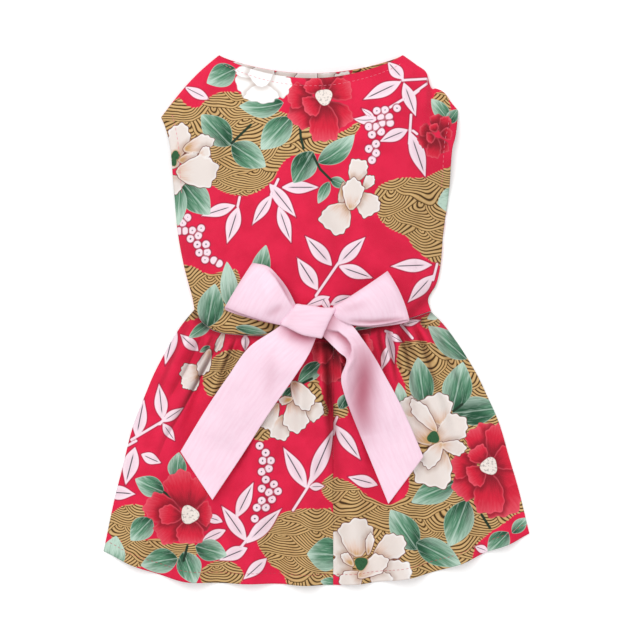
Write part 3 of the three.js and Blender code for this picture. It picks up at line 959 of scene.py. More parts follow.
@dataclass(frozen=True)
class Waves:
    """Bowls of lines that lie over each other like scales, row over row.

    Attributes:
        half_width: Half the width of a bowl, in chart steps.
        height: The height of a bowl.
        lines: Lines in a bowl.
        line_width: The width of a line, as a share of the distance between two.
        wander: How far the rows wander.
    """

    half_width: float = 34.0
    height: float = 24.0
    lines: int = 9
    line_width: float = 0.34
    wander: float = 46.0

    def group(self) -> bpy.types.NodeTree:
        """Makes the group: its line is 1 on a line, and its stripe is the place between two."""
        board, given, result = group("wave_lines", {"Chart": "Vector"}, {"Line": "Float", "Stripe": "Float"})
        wander = board.node("VectorMath", operation="MULTIPLY_ADD")
        board.feed(wander.inputs[0], board.noise(given["Chart"], 1 / 68, 2.0, 1))
        wander.inputs[1].default_value = (self.wander, self.wander, 0)
        board.feed(wander.inputs[2], given["Chart"])
        x, y, _ = board.split(wander.outputs[0])
        pitch = self.height / 2
        first = board.sum("CEIL", board.sum("SUBTRACT", board.sum("DIVIDE", y, pitch), 2.0))
        reach: object = 1.0
        for step in (2.0, 1.0, 0.0):
            row = board.sum("ADD", first, step)
            odd = board.sum("FLOORED_MODULO", row, 2.0)
            shifted = board.sum("SUBTRACT", x, board.sum("MULTIPLY", odd, self.half_width))
            cell = board.sum("ROUND", board.sum("DIVIDE", shifted, 2 * self.half_width))
            across = board.sum("DIVIDE", board.sum("MULTIPLY_ADD", cell, -2 * self.half_width, shifted),
                               self.half_width)
            below = board.sum("DIVIDE", board.sum("MULTIPLY_ADD", row, -pitch, y), self.height)
            away = board.sum("SQRT", board.sum(
                "ADD", board.sum("MULTIPLY", across, across), board.sum("MULTIPLY", below, below)))
            inside = board.sum("LESS_THAN", away, 1.0)
            kept = board.node("Mix", data_type="FLOAT")
            for number, part in ((0, inside), (2, reach), (3, away)):
                board.feed(kept.inputs[number], part)
            reach = kept.outputs[0]
        ring = board.sum("FRACT", board.sum("MULTIPLY", reach, float(self.lines)))
        stripe = board.sum("ABSOLUTE", board.sum("SUBTRACT", ring, 0.5))
        board.feed(result.inputs["Stripe"], stripe)
        edge = 0.5 - self.line_width / 2
        board.feed(result.inputs["Line"], board.fade(stripe, edge - 0.09, edge + 0.09))
        return board.tree


@dataclass(frozen=True)
class Inks:
    """The colours of the print and of the cloth's wrong side, and the valley colour, which paints shade into
    folds.
    """

    ground: int = 0xE31C47
    ground_deep: int = 0xD6153F
    gold: int = 0xBC9359
    gold_light: int = 0xD3AF79
    gold_line: int = 0x40290B
    sprig: int = 0xF7DFE9
    sprig_core: int = 0xECD0DC
    vein: int = 0x4C4650
    sprig_edge: int = 0x9E163C
    leaf_base: int = 0x1D4E35
    leaf_middle: int = 0x568A6C
    leaf_tip: int = 0xC0DACA
    leaf_edge: int = 0xC2DACB
    stem: int = 0x1B3323
    camellia: int = 0xD41C39
    camellia_light: int = 0xE85A6C
    camellia_deep: int = 0x860D22
    peony: int = 0xE9DED8
    peony_blush: int = 0xE0C0AE
    peony_throat: int = 0xC79A62
    peony_edge: int = 0x70302A
    heart: int = 0xEFE4DC
    bud: int = 0x2F5E3A
    petal_shadow: int = 0xA98A78
    wrong_side: int = 0xF2D9DC
    # Painted shade, multiplied into the cloth in its folds, gathers and seam and under the bow.
    valley: int = 0x6A2A30
    white: int = 0xFFFFFF


@dataclass(frozen=True)
class PrintedCotton:
    """Printed cotton: the print, a fine weave and a soft, dull finish, with painted shade in its folds and a
    faint painted sheen on its threads.

    Attributes:
        inks: The colours.
        waves: The gold waves.
        roughness: The cloth's roughness.
        fade: How pale the print is on the wrong side.
    """

    inks: Inks = Inks()
    waves: Waves = Waves()
    roughness: float = 0.86
    fade: float = 0.52

    def brush(self, board: Board, *parts: tuple[bpy.types.NodeSocket, float]) -> bpy.types.NodeSocket:
        """Returns a place in brush strokes from parts of a shape, each with its own scale."""
        return board.join(*(board.sum("MULTIPLY", part, scale) for part, scale in parts))

    def petals(self, board: Board, under: bpy.types.NodeSocket, shape: bpy.types.NodeSocket,
               kind: str, within: object) -> bpy.types.NodeSocket:
        """Lays one layer of petals over a colour.

        Args:
            board: The board to lay it out on.
            under: The colour under it.
            shape: The layer's field.
            kind: "camellia" or "peony".
            within: How far inside the lower petals a place lies, because only they are shaded.

        Returns:
            The colour with the petals.
        """
        inks = self.inks
        edge, along, across = board.split(shape)
        streaks = board.noise(self.brush(board, (across, 9.0), (along, 1.6), (across, 2.0)), 1.0, 3.0)
        tips = board.sum("MULTIPLY_ADD", board.sum("SUBTRACT", streaks, 0.5), 0.9, along)
        if kind == "camellia":
            body = board.mix(board.fade(tips, -0.9, 0.35),
                             colour(inks.camellia_deep), colour(inks.camellia))
            body = board.mix(board.fade(tips, 0.2, 1.1, 0, 0.7), body, colour(inks.camellia_light))
            body = board.mix(board.fade(edge, 2.2, 0.4, 0, 0.45), body, colour(inks.camellia_light))
            rim, rim_width, reach, shadow = inks.camellia_deep, 0.25, 7.0, 0.75
            cast_ink = inks.camellia_deep
        else:
            body = board.mix(board.fade(tips, -1.1, -0.4),
                             colour(inks.peony_throat), colour(inks.peony_blush))
            body = board.mix(board.fade(tips, -0.8, 0.15), body, colour(inks.peony))
            body = board.mix(board.fade(edge, 3.5, 0.8, 0, 0.4), body, colour(inks.white))
            body = board.mix(board.fade(along, 1.0, 1.8, 0, 0.8), body, colour(inks.white))
            rim, rim_width, reach, shadow = inks.peony_edge, 1.0, 6.0, 0.45
            cast_ink = inks.petal_shadow
        cast = board.sum("MULTIPLY", board.fade(edge, -reach, 0.0, 0.0, shadow),
                         board.fade(within, -0.4, 0.4))
        shaded = board.mix(cast, under, colour(cast_ink))
        outline = board.sum("MULTIPLY", board.fade(edge, rim_width, rim_width - 0.7),
                            board.fade(along, 1.5, 1.1, 0.3, 1.0))
        inked = board.mix(outline, body, colour(rim))
        return board.mix(board.fade(edge, -0.4, 0.3), shaded, inked)

    def leaves(self, board: Board, under: bpy.types.NodeSocket,
               shape: bpy.types.NodeSocket) -> bpy.types.NodeSocket:
        """Lays one layer of green leaves over a colour."""
        inks = self.inks
        edge, across, along = board.split(shape)
        streaks = board.noise(self.brush(board, (across, 5.0), (along, 2.2)), 1.0, 3.0)
        length = board.sum("MULTIPLY_ADD", board.sum("SUBTRACT", streaks, 0.5), 0.9, along)
        body = board.mix(board.fade(length, -0.1, 0.5), colour(inks.leaf_tip), colour(inks.leaf_middle))
        body = board.mix(board.fade(length, 0.4, 0.95), body, colour(inks.leaf_base))
        half = board.mix(board.fade(across, 0.1, 0.8, 0.0, 0.5), body, colour(inks.leaf_tip))
        brush = board.noise(self.brush(board, (across, 14.0), (along, 3.0), (along, 2.0)), 1.0, 2.0)
        half = board.mix(board.fade(brush, 0.5, 0.72, 0.0, 0.4), half, colour(inks.leaf_tip))
        half = board.mix(board.fade(brush, 0.5, 0.3, 0.0, 0.35), half, colour(inks.leaf_base))
        rib = board.fade(board.sum("ABSOLUTE", across), 0.08, 0.02, 0.0, 0.4)
        ribbed = board.mix(rib, half, colour(inks.leaf_edge))
        rimmed = board.mix(board.fade(edge, 1.0, 0.2, 0.0, 0.5), ribbed, colour(inks.leaf_edge))
        return board.mix(board.fade(edge, -0.35, 0.35), under, rimmed)

    def group(self) -> bpy.types.NodeTree:
        """Makes the group that draws the print from its fields."""
        inks = self.inks
        layers = [f"{kind}_{layer}" for kind in KINDS for layer in range(PETAL_LAYERS)]
        vectors = ["chart", "leaf_low", "leaf_high", "sprig", *layers]
        numbers = ["waves", "berry", "stem", "camellia_heart", "peony_heart"]
        sockets = {**dict.fromkeys(vectors, "Vector"), **dict.fromkeys(numbers, "Float")}
        board, given, result = group("print", sockets, {"Color": "Color"})
        chart = given["chart"]
        mottle = board.noise(chart, 1 / 26, 3.0)
        ink = board.mix(board.fade(mottle, 0.36, 0.66), colour(inks.ground), colour(inks.ground_deep))

        lines = board.node("Group", node_tree=self.waves.group())
        board.feed(lines.inputs["Chart"], chart)
        line, stripe = lines.outputs["Line"], lines.outputs["Stripe"]
        gold = board.mix(board.fade(stripe, 0.34, 0.1), colour(inks.gold), colour(inks.gold_light))
        patchy = board.fade(board.noise(chart, 1 / 9, 2.0), 0.45, 0.75, 0, 0.5)
        gold = board.mix(patchy, gold, colour(inks.gold))
        lined = board.mix(line, gold, colour(inks.gold_line))
        ragged = board.sum("MULTIPLY_ADD", stripe, -2.4, board.sum("ADD", given["waves"], 0.8))
        ink = board.mix(board.fade(ragged, -0.4, 0.4), ink, lined)

        edge, across, along = board.split(given["sprig"])
        ink = board.mix(board.fade(edge, -1.7, -0.4, 0.0, 0.75), ink, colour(inks.sprig_edge))
        core = board.mix(board.fade(edge, 1.5, 4.5, 0.0, 0.6), colour(inks.sprig), colour(inks.sprig_core))
        in_vein = board.sum("MULTIPLY", board.fade(board.sum("ABSOLUTE", across), 0.11, 0.04),
                            board.sum("MULTIPLY", board.fade(along, 0.1, 0.25), board.fade(along, 0.85, 0.7)))
        ink = board.mix(board.fade(edge, -0.4, 0.4), ink, board.mix(in_vein, core, colour(inks.vein)))
        ink = board.mix(board.fade(given["berry"], -1.4, -0.3, 0.0, 0.8), ink, colour(inks.sprig_edge))
        ball = board.mix(board.fade(given["berry"], 2.9, 3.4), colour(inks.sprig), colour(inks.vein))
        ball = board.mix(board.fade(given["berry"], 0.8, 0.2, 0.0, 0.75), ball, colour(inks.sprig_edge))
        ink = board.mix(board.fade(given["berry"], -0.3, 0.3), ink, ball)

        for name in ("leaf_low", "leaf_high"):
            ink = self.leaves(board, ink, given[name])
        ink = board.mix(board.fade(given["stem"], -0.4, 0.4), ink, colour(inks.stem))
        for kind, heart, speck, rim in (("camellia", inks.heart, inks.vein, inks.camellia_deep),
                                        ("peony", inks.bud, inks.stem, inks.peony_throat)):
            within: object = -1.0
            for layer in range(PETAL_LAYERS):
                shape = given[f"{kind}_{layer}"]
                ink = self.petals(board, ink, shape, kind, within)
                within = board.sum("MAXIMUM", within, board.split(shape)[0])
            middle = given[f"{kind}_heart"]
            grain = board.fade(board.noise(chart, 0.45, 2.0), 0.5, 0.68, 0.0, 0.5)
            core = board.mix(grain, colour(heart), colour(speck))
            ink = board.mix(board.fade(middle, -2.0, 0.0, 0.0, 0.6), ink, colour(rim))
            ink = board.mix(board.fade(middle, -0.4, 0.4), ink, core)
        board.feed(result.inputs["Color"], ink)
        return board.tree

    def material(self, name: str, drawn: bpy.types.NodeTree, weave: bpy.types.NodeTree,
                 inside: bool = False) -> bpy.types.Material:
        """Makes the cloth's material.

        Args:
            name: Its name.
            drawn: The group that draws the print.
            weave: The group of the weave.
            inside: Whether this is the wrong side.

        Returns:
            The material.
        """
        made, board, shader = started(name)
        cloth = board.node("Group", node_tree=drawn)
        for socket in cloth.inputs:
            board.feed(socket, board.attribute(socket.name, socket.type == "VECTOR"))
        woven = board.node("Group", node_tree=weave)
        board.feed(woven.inputs["Thread"], board.attribute("thread", True))
        ink = cloth.outputs["Color"]
        if inside:
            ink = board.mix(self.fade, ink, colour(self.inks.wrong_side))
        # Painted shade: the crease attribute multiplies the valley colour into folds, gathers, the seam and
        # the knot's shadow.
        valley = board.attribute("crease")
        ink = board.mix(board.sum("MULTIPLY", valley, 0.88), ink, colour(self.inks.valley), "MULTIPLY")
        # A faint painted sheen: white on the tops of the threads.
        thread_top_sheen = board.fade(woven.outputs["Mask"], 0.25, 1.0, 0.0, 0.035)
        ink = board.mix(thread_top_sheen, ink, colour(self.inks.white))
        board.feed(shader["Base Color"], ink)
        board.feed(shader["Normal"], woven.outputs["Normal"])
        board.feed(shader["Roughness"],
                   board.fade(woven.outputs["Mask"], 0.0, 1.0, self.roughness - 0.06, self.roughness + 0.06))
        board.feed(shader["Sheen Weight"], 0.02)
        board.feed(shader["Sheen Roughness"], 0.5)
        board.feed(shader["Specular IOR Level"], 0.12)
        return made


@dataclass(frozen=True)
class Weave:
    """Crossing threads with small slubs.

    Attributes:
        name: The group's name.
        pitch: The distance between two threads in millimetres.
        depth: The depth of the weave as a bump, in metres.
        slubs: How uneven the cloth is over a few millimetres, in metres.
    """

    name: str
    pitch: float = 0.42
    depth: float = 0.00006
    slubs: float = 0.0002

    def group(self) -> bpy.types.NodeTree:
        """Makes the group: its mask is 1 on top of a thread."""
        board, given, result = group(self.name, {"Thread": "Vector"}, {"Normal": "Vector", "Mask": "Float"})
        x, y, _ = board.split(given["Thread"])
        waves = [board.sum("SINE", board.sum("MULTIPLY", part, TURN / self.pitch / 2)) for part in (x, y)]
        mask = board.sum("ABSOLUTE", board.sum("MULTIPLY", *waves))
        soft = board.noise(given["Thread"], 0.22, 3.0)
        low = board.node("Bump", {"Height": soft, "Distance": self.slubs, "Strength": 1.0})
        fine = board.node("Bump", {"Height": mask, "Distance": self.depth, "Strength": 1.0,
                                   "Normal": low.outputs[0]})
        board.feed(result.inputs["Normal"], fine.outputs[0])
        board.feed(result.inputs["Mask"], mask)
        return board.tree


@dataclass(frozen=True)
class Satin:
    """Pink satin ribbon: smooth, with a soft shine across its threads, random streaks of painted sheen and
    painted shade in its creases.

    Attributes:
        light: The colour of most of the cloth.
        pink: The colour of the random streaks of painted sheen that run through it.
        fold_shade: The painted shade in its creases, along its edges, on its undersides and under the knot.
        roughness: The ribbon's roughness.
    """

    light: int = 0xF8D8E8
    pink: int = 0xEFC4D7
    fold_shade: int = 0xAE5268
    roughness: float = 0.42

    def material(self, name: str, weave: bpy.types.NodeTree) -> bpy.types.Material:
        """Makes the ribbon's material."""
        made, board, shader = started(name)
        woven = board.node("Group", node_tree=weave)
        board.feed(woven.inputs["Thread"], board.attribute("thread", True))
        # Random streaks of painted sheen, lighter and pinker along the ribbon; they also vary its roughness.
        sheen_streaks = board.noise(board.scaled(board.attribute("thread", True), 0.5, 0.06), 1.0, 3.0)
        silk = board.mix(board.fade(sheen_streaks, 0.35, 0.7, 0.0, 0.35), colour(self.light), colour(self.pink))
        # Painted shade from the crease attribute.
        silk = board.mix(board.sum("MULTIPLY", board.attribute("crease"), 0.9), silk, colour(self.fold_shade))
        board.feed(shader["Base Color"], silk)
        board.feed(shader["Normal"], woven.outputs["Normal"])
        board.feed(shader["Roughness"],
                   board.fade(sheen_streaks, 0.2, 0.8, self.roughness - 0.05, self.roughness + 0.07))
        board.feed(shader["Sheen Weight"], 0.1)
        board.feed(shader["Anisotropic"], 0.4)
        board.feed(shader["Specular IOR Level"], 0.35)
        return made


@dataclass(frozen=True)
class Thread:
    """Sewing thread."""

    tint: int = 0xD8516B
    gloss: int = 0xEE9BAC
    roughness: float = 0.6

    def material(self, name: str) -> bpy.types.Material:
        """Makes the thread's material, with stripes like those of twisted strands, whose lighter gloss colour
        is a painted sheen.
        """
        made, board, shader = started(name)
        place = board.node("TexCoord").outputs["Object"]
        twist = board.node("TexWave", {"Vector": place, "Scale": 900.0, "Distortion": 2.0},
                           bands_direction="DIAGONAL").outputs["Fac"]
        # The gloss colour is a painted sheen on the strands.
        board.feed(shader["Base Color"], board.mix(twist, colour(self.tint), colour(self.gloss)))
        board.feed(shader["Roughness"],
                   board.fade(twist, 0.0, 1.0, self.roughness, self.roughness + 0.15))
        relief = board.node("Bump", {"Height": twist, "Distance": 0.00005, "Strength": 0.6})
        board.feed(shader["Normal"], relief.outputs[0])
        return made


@dataclass
class Materials:
    """Every material of the dress."""

    right_side: bpy.types.Material = field(init=False)
    wrong_side: bpy.types.Material = field(init=False)
    satin: bpy.types.Material = field(init=False)
    thread: bpy.types.Material = field(init=False)
    hem_thread: bpy.types.Material = field(init=False)

    def __post_init__(self) -> None:
        """Makes the materials."""
        cotton = PrintedCotton()
        drawn, weave = cotton.group(), Weave("cotton_weave").group()
        self.right_side = cotton.material("printed_cotton_right_side", drawn, weave)
        self.wrong_side = cotton.material("printed_cotton_wrong_side", drawn, weave, inside=True)
        ribbon_weave = Weave("satin_weave", pitch=0.3, depth=0.000006, slubs=0.00025).group()
        self.satin = Satin().material("pink_satin", ribbon_weave)
        self.thread = Thread().material("sewing_thread")
        self.hem_thread = Thread(tint=0xB42440, gloss=0xCC4A60).material("hem_thread")


# The dress


@dataclass
class Bodice:
    """The bodice: a domed back over a flat belly side, open at the neck, the armholes and the rear."""

    wall: float = 1.2
    shown_wall: float = 1.0
    lay_gap: float = 0.3
    steepest_wall: float = 2.2
    half_width: float = 100.0
    neck_width: float = 132.0
    neck_x: float = -4.0
    neck_y: float = 191.0
    neck_drop: float = 19.0
    belly_neck_stand_out: float = 6.0
    shoulder_drop: float = 45.0
    shoulder_bulge: float = 3.5
    loft: float = 34.0
    mouth: float = 21.0
    armhole_length: float = 58.0
    armhole_depth: float = 36.0
    armhole_lift: float = 5.0
    belly_hem_rise: float = 26.0
    shoulder_reach: float = 0.3
    dome_power: float = 2.6
    waist_y: float = -11.0
    waist_rise: float = 19.0
    shoulder_columns: float = 0.2
    hem_width: float = 5.6
    belly_lift: float = 0.1
    facing_inset: float = 0.012
    facing_drop: float = 0.2
    facing_depth: float = 10.0
    facing_top: float = 1.44
    facing_wall: float = 0.3
    sides: Curve = Curve((
        (0.00, 1.120, 1.020), (0.05, 1.090, 1.015), (0.13, 1.060, 1.000), (0.20, 1.045, 0.975),
        (0.40, 1.025, 0.955), (0.60, 1.000, 0.915), (0.76, 0.960, 0.895), (0.86, 0.925, 0.865),
        (0.94, 0.895, 0.805), (1.00, 0.880, 0.825),
    ))
    right_shoulder: Curve = Curve((
        (0.00, 5.0), (0.12, 4.0), (0.25, 4.2), (0.40, -0.5), (0.48, -4.2), (0.53, -1.0),
        (0.57, 3.2), (0.75, 1.6), (1.00, 0.0),
    ))
    heights: Curve = Curve(((0.00, 0.80), (0.20, 0.95), (0.45, 1.00), (0.75, 0.84), (1.00, 0.64)))
    waist: Curve = Curve((
        (0.00, 1.00), (0.03, 0.55), (0.09, 0.17), (0.20, 0.03), (0.31, 0.00), (0.50, 0.07),
        (0.66, 0.18), (0.79, 0.37), (0.90, 0.62), (1.00, 0.92),
    ))
    folds: tuple[Crease, ...] = (
        Crease(-2.6, 5, ((442, 284), (426, 300), (404, 318))), Crease(1.8, 5, ((446, 270), (436, 292))),
        Crease(-0.7, 6, ((210, 96), (222, 150), (214, 200))),
        Crease(-0.6, 9, ((300, 170), (330, 230), (320, 290))),
        Crease(-0.8, 5, ((196, 300), (230, 312), (270, 318))), Crease(-0.6, 7, ((440, 190), (400, 240))),
        Crease(0.5, 10, ((250, 130), (260, 240))), Crease(0.5, 9, ((390, 110), (395, 230))),
    )

    def left_x(self, down: Array) -> Array:
        """Returns the left side's place across."""
        return -self.half_width * self.sides.at(down, 1)

    def right_x(self, down: Array) -> Array:
        """Returns the right side's place across."""
        return self.half_width * self.sides.at(down, 2)

    def neck_shares(self) -> tuple[float, float]:
        """Returns the shares across the top edge of the two neck points."""
        left, right = self.left_x(np.zeros(1))[0], self.right_x(np.zeros(1))[0]
        middle, half = self.neck_x - left, self.neck_width / 2
        return (middle - half) / (right - left), (middle + half) / (right - left)

    def armhole_share(self) -> float:
        """Returns the share of the bodice's length that an armhole takes."""
        return self.armhole_length / (self.neck_y - self.shoulder_drop - self.waist_y - self.waist_rise)

    def across(self, column: Array) -> Array:
        """Returns the share across for a share of the columns, with one at each neck point."""
        low, high = self.neck_shares()
        edge = self.shoulder_columns
        return np.interp(column, (0, edge, 1 - edge, 1), (0, low, high, 1))

    def across_neck(self, across: Array) -> Array:
        """Returns the share across the neckline."""
        low, high = self.neck_shares()
        return np.clip((across - low) / (high - low), 0, 1)

    def top_y(self, across: Array, scoop: float) -> Array:
        """Returns the top edge: two sloping shoulders and the scoop of the neck."""
        low, high = self.neck_shares()
        tip = self.neck_y - self.shoulder_drop
        edge = np.interp(across, (0, low, high, 1), (tip, self.neck_y, self.neck_y, tip))
        shoulder = np.where(across < low, across / low, np.clip((1 - across) / (1 - high), 0, 1))
        edge += self.shoulder_bulge * arch(shoulder, 1)
        edge += np.where(across > high, self.right_shoulder.at(shoulder), 0)
        return edge - scoop * arch(self.across_neck(across), 0.8)

    def waist_seam_y(self, across: Array) -> Array:
        """Returns the waist seam."""
        return self.waist_y + self.waist_rise * self.waist.at(across)

    def seam_height(self) -> float:
        """Returns the height of the back's lower side along the side seams."""
        return self.wall + self.lay_gap

    def back_lower(self, column: Array, down: Array) -> Array:
        """Returns the lower side of the back."""
        across = self.across(column)
        x = lerp(self.left_x(down), self.right_x(down), across)
        y = lerp(self.top_y(across, self.neck_drop), self.waist_seam_y(across), down)
        chest = self.loft * self.heights.at(down)
        mouth = self.mouth * arch(self.across_neck(across), 0.7)
        shoulder = 1 - (1 - np.clip(down / self.shoulder_reach, 0, 1)) ** 2
        dome = 1 - np.abs(2 * across - 1) ** self.dome_power
        lift = self.armhole_lift * arch(down / self.armhole_share(), 1) * np.abs(2 * across - 1) ** 4
        return np.column_stack((x, y, self.seam_height() + lerp(mouth, chest, shoulder) * dome + lift))

    def back(self, column: Array, down: Array) -> Array:
        """Returns the outer side of the back, with its small folds."""
        points = raised(self.back_lower, column, down, self.wall, self.steepest_wall)
        chart = chart_of(points)
        across = self.across(column)
        edge = self.top_y(across, self.neck_drop) - points[:, 1]
        side = np.minimum(points[:, 0] - self.left_x(down), self.right_x(down) - points[:, 0])
        hem = np.minimum(edge, np.where(down < self.armhole_share(), side, FAR))
        relief = 0.55 * unevenness(chart[:, 0], chart[:, 1], 70, 0.4)
        relief += 0.22 * unevenness(chart[:, 0], chart[:, 1], 26, 1.9)
        relief += 0.28 * unevenness(chart[:, 0], chart[:, 1] * 0.3, 9, 0.7) * bump(edge - self.hem_width, 7)
        relief -= 0.35 * bump(hem - self.hem_width, 0.9)
        relief += 0.25 * (1 - ease_in((hem - self.hem_width) / 1.2))
        relief += creased(chart, self.folds)[0]
        held = ease_in(side / 8) * ease_in(edge / 3 + 0.4)
        seam = points[:, 1] - self.waist_seam_y(across)
        points[:, 2] += relief * held - 1.6 * bump(seam, 2.2) * ease_in(side / 6)
        return points

    def belly_lower(self, column: Array, down: Array) -> Array:
        """Returns the lower side of the belly side, which lies on the floor."""
        across = self.across(column)
        along_armhole = np.clip(down / self.armhole_share(), 0, 1)
        cut = self.armhole_depth * arch(along_armhole, 1)
        x = lerp(self.left_x(down) + cut, self.right_x(down) - cut, across)
        hem = self.waist_seam_y(across) + self.belly_hem_rise * arch(across, 0.8)
        top = self.top_y(across, self.neck_drop - self.belly_neck_stand_out)
        top = lerp(top, self.neck_y - self.shoulder_drop, along_armhole)
        return np.column_stack((x, lerp(top, hem, down), np.full(len(column), self.belly_lift)))

    def neck_facing(self, share: Array, down: Array) -> Array:
        """Returns the upper side of the belly side's turned-in neck hem."""
        low, high = self.neck_shares()
        across = lerp(low, high, self.facing_inset + (1 - 2 * self.facing_inset) * share)
        x = lerp(self.left_x(np.zeros(1)), self.right_x(np.zeros(1)), across)
        top = self.top_y(across, self.neck_drop - self.belly_neck_stand_out)
        y = top - self.facing_drop - self.facing_depth * down
        return np.column_stack((x, y, np.full(len(share), self.facing_top)))

    def build(self, materials: Materials) -> list[bpy.types.Object]:
        """Sews the bodice.

        Args:
            materials: The materials.

        Returns:
            The back and the belly side.
        """
        back = Sheet("back_panel", 224, 214, self.back, self.shown_wall)
        shell = back.build((materials.right_side, materials.wrong_side))
        chart = chart_of(back.points)
        store(shell.data, "chart", chart)
        # Painted shade in the back's folds.
        store(shell.data, "crease", creased(chart, self.folds)[1] * 0.5)
        PrintFields(chart, BACK_PRINT).store(shell.data)
        settle(shell, Finish.PRINT, "bodice_back")

        belly = Sheet("belly_panel", 120, 110, self.belly_lower, self.shown_wall, faces_down=True)
        base = belly.build((materials.right_side, materials.wrong_side))
        mirrored = chart_of(belly.points * (-1, 1, 1))
        store(base.data, "chart", mirrored)
        store(base.data, "crease", np.zeros(len(mirrored)))
        PrintFields(mirrored, BACK_PRINT).store(base.data)
        settle(base, Finish.BELLY, "bodice_belly")
        hem = Sheet("neck_facing", 160, 12, self.neck_facing, self.facing_wall)
        facing = hem.build((materials.right_side,))
        store(facing.data, "chart", chart_of(hem.points))
        # Painted shade on the neck facing, darker further from the neck edge, in under the back.
        store(facing.data, "crease", 0.25 * hem.down)
        PrintFields(chart_of(hem.points), NECK_PRINT).store(facing.data)
        settle(facing, Finish.PRINT)
        self.sew(materials)
        return [shell, base]

    def sew(self, materials: Materials) -> None:
        """Sews the rows of stitches at the neck and the armholes."""
        columns = np.linspace(self.shoulder_columns, 1 - self.shoulder_columns, 400)
        across = self.across(columns)
        length = self.top_y(across, self.neck_drop) - self.waist_seam_y(across)
        settle(Seam("neck_stitches").build(self.back, columns, self.hem_width / length, materials.thread),
               Finish.PRINT)
        down = np.linspace(0.03, self.armhole_share(), 160)
        width = self.right_x(down) - self.left_x(down)
        low, high = self.neck_shares()
        for name, mirrored in (("armhole_stitches_left", False), ("armhole_stitches_right", True)):
            share = self.hem_width / width
            column = np.interp(1 - share if mirrored else share, (0, low, high, 1),
                               (0, self.shoulder_columns, 1 - self.shoulder_columns, 1))
            settle(Seam(name).build(self.back, column, down, materials.thread), Finish.PRINT)


def raised(lower: Surface, across: Array, down: Array, wall: float, steepest: float) -> Array:
    """Returns the upper side of a sheet whose lower side is given.

    Args:
        lower: The lower side.
        across: Shares across.
        down: Shares down.
        wall: The sheet's thickness.
        steepest: The most that a slope is thickened upwards.

    Returns:
        The points of the upper side.
    """
    step = 0.005
    side = lower(np.minimum(across + step, 1), down) - lower(np.maximum(across - step, 0), down)
    fall = lower(across, np.minimum(down + step, 1)) - lower(across, np.maximum(down - step, 0))
    normal = np.cross(side, fall)
    upright = np.abs(normal[:, 2]) / np.maximum(np.linalg.norm(normal, axis=1), 1e-9)
    points = lower(across, down)
    points[:, 2] += wall * np.minimum(1 / np.maximum(upright, 1e-3), steepest)
    return points


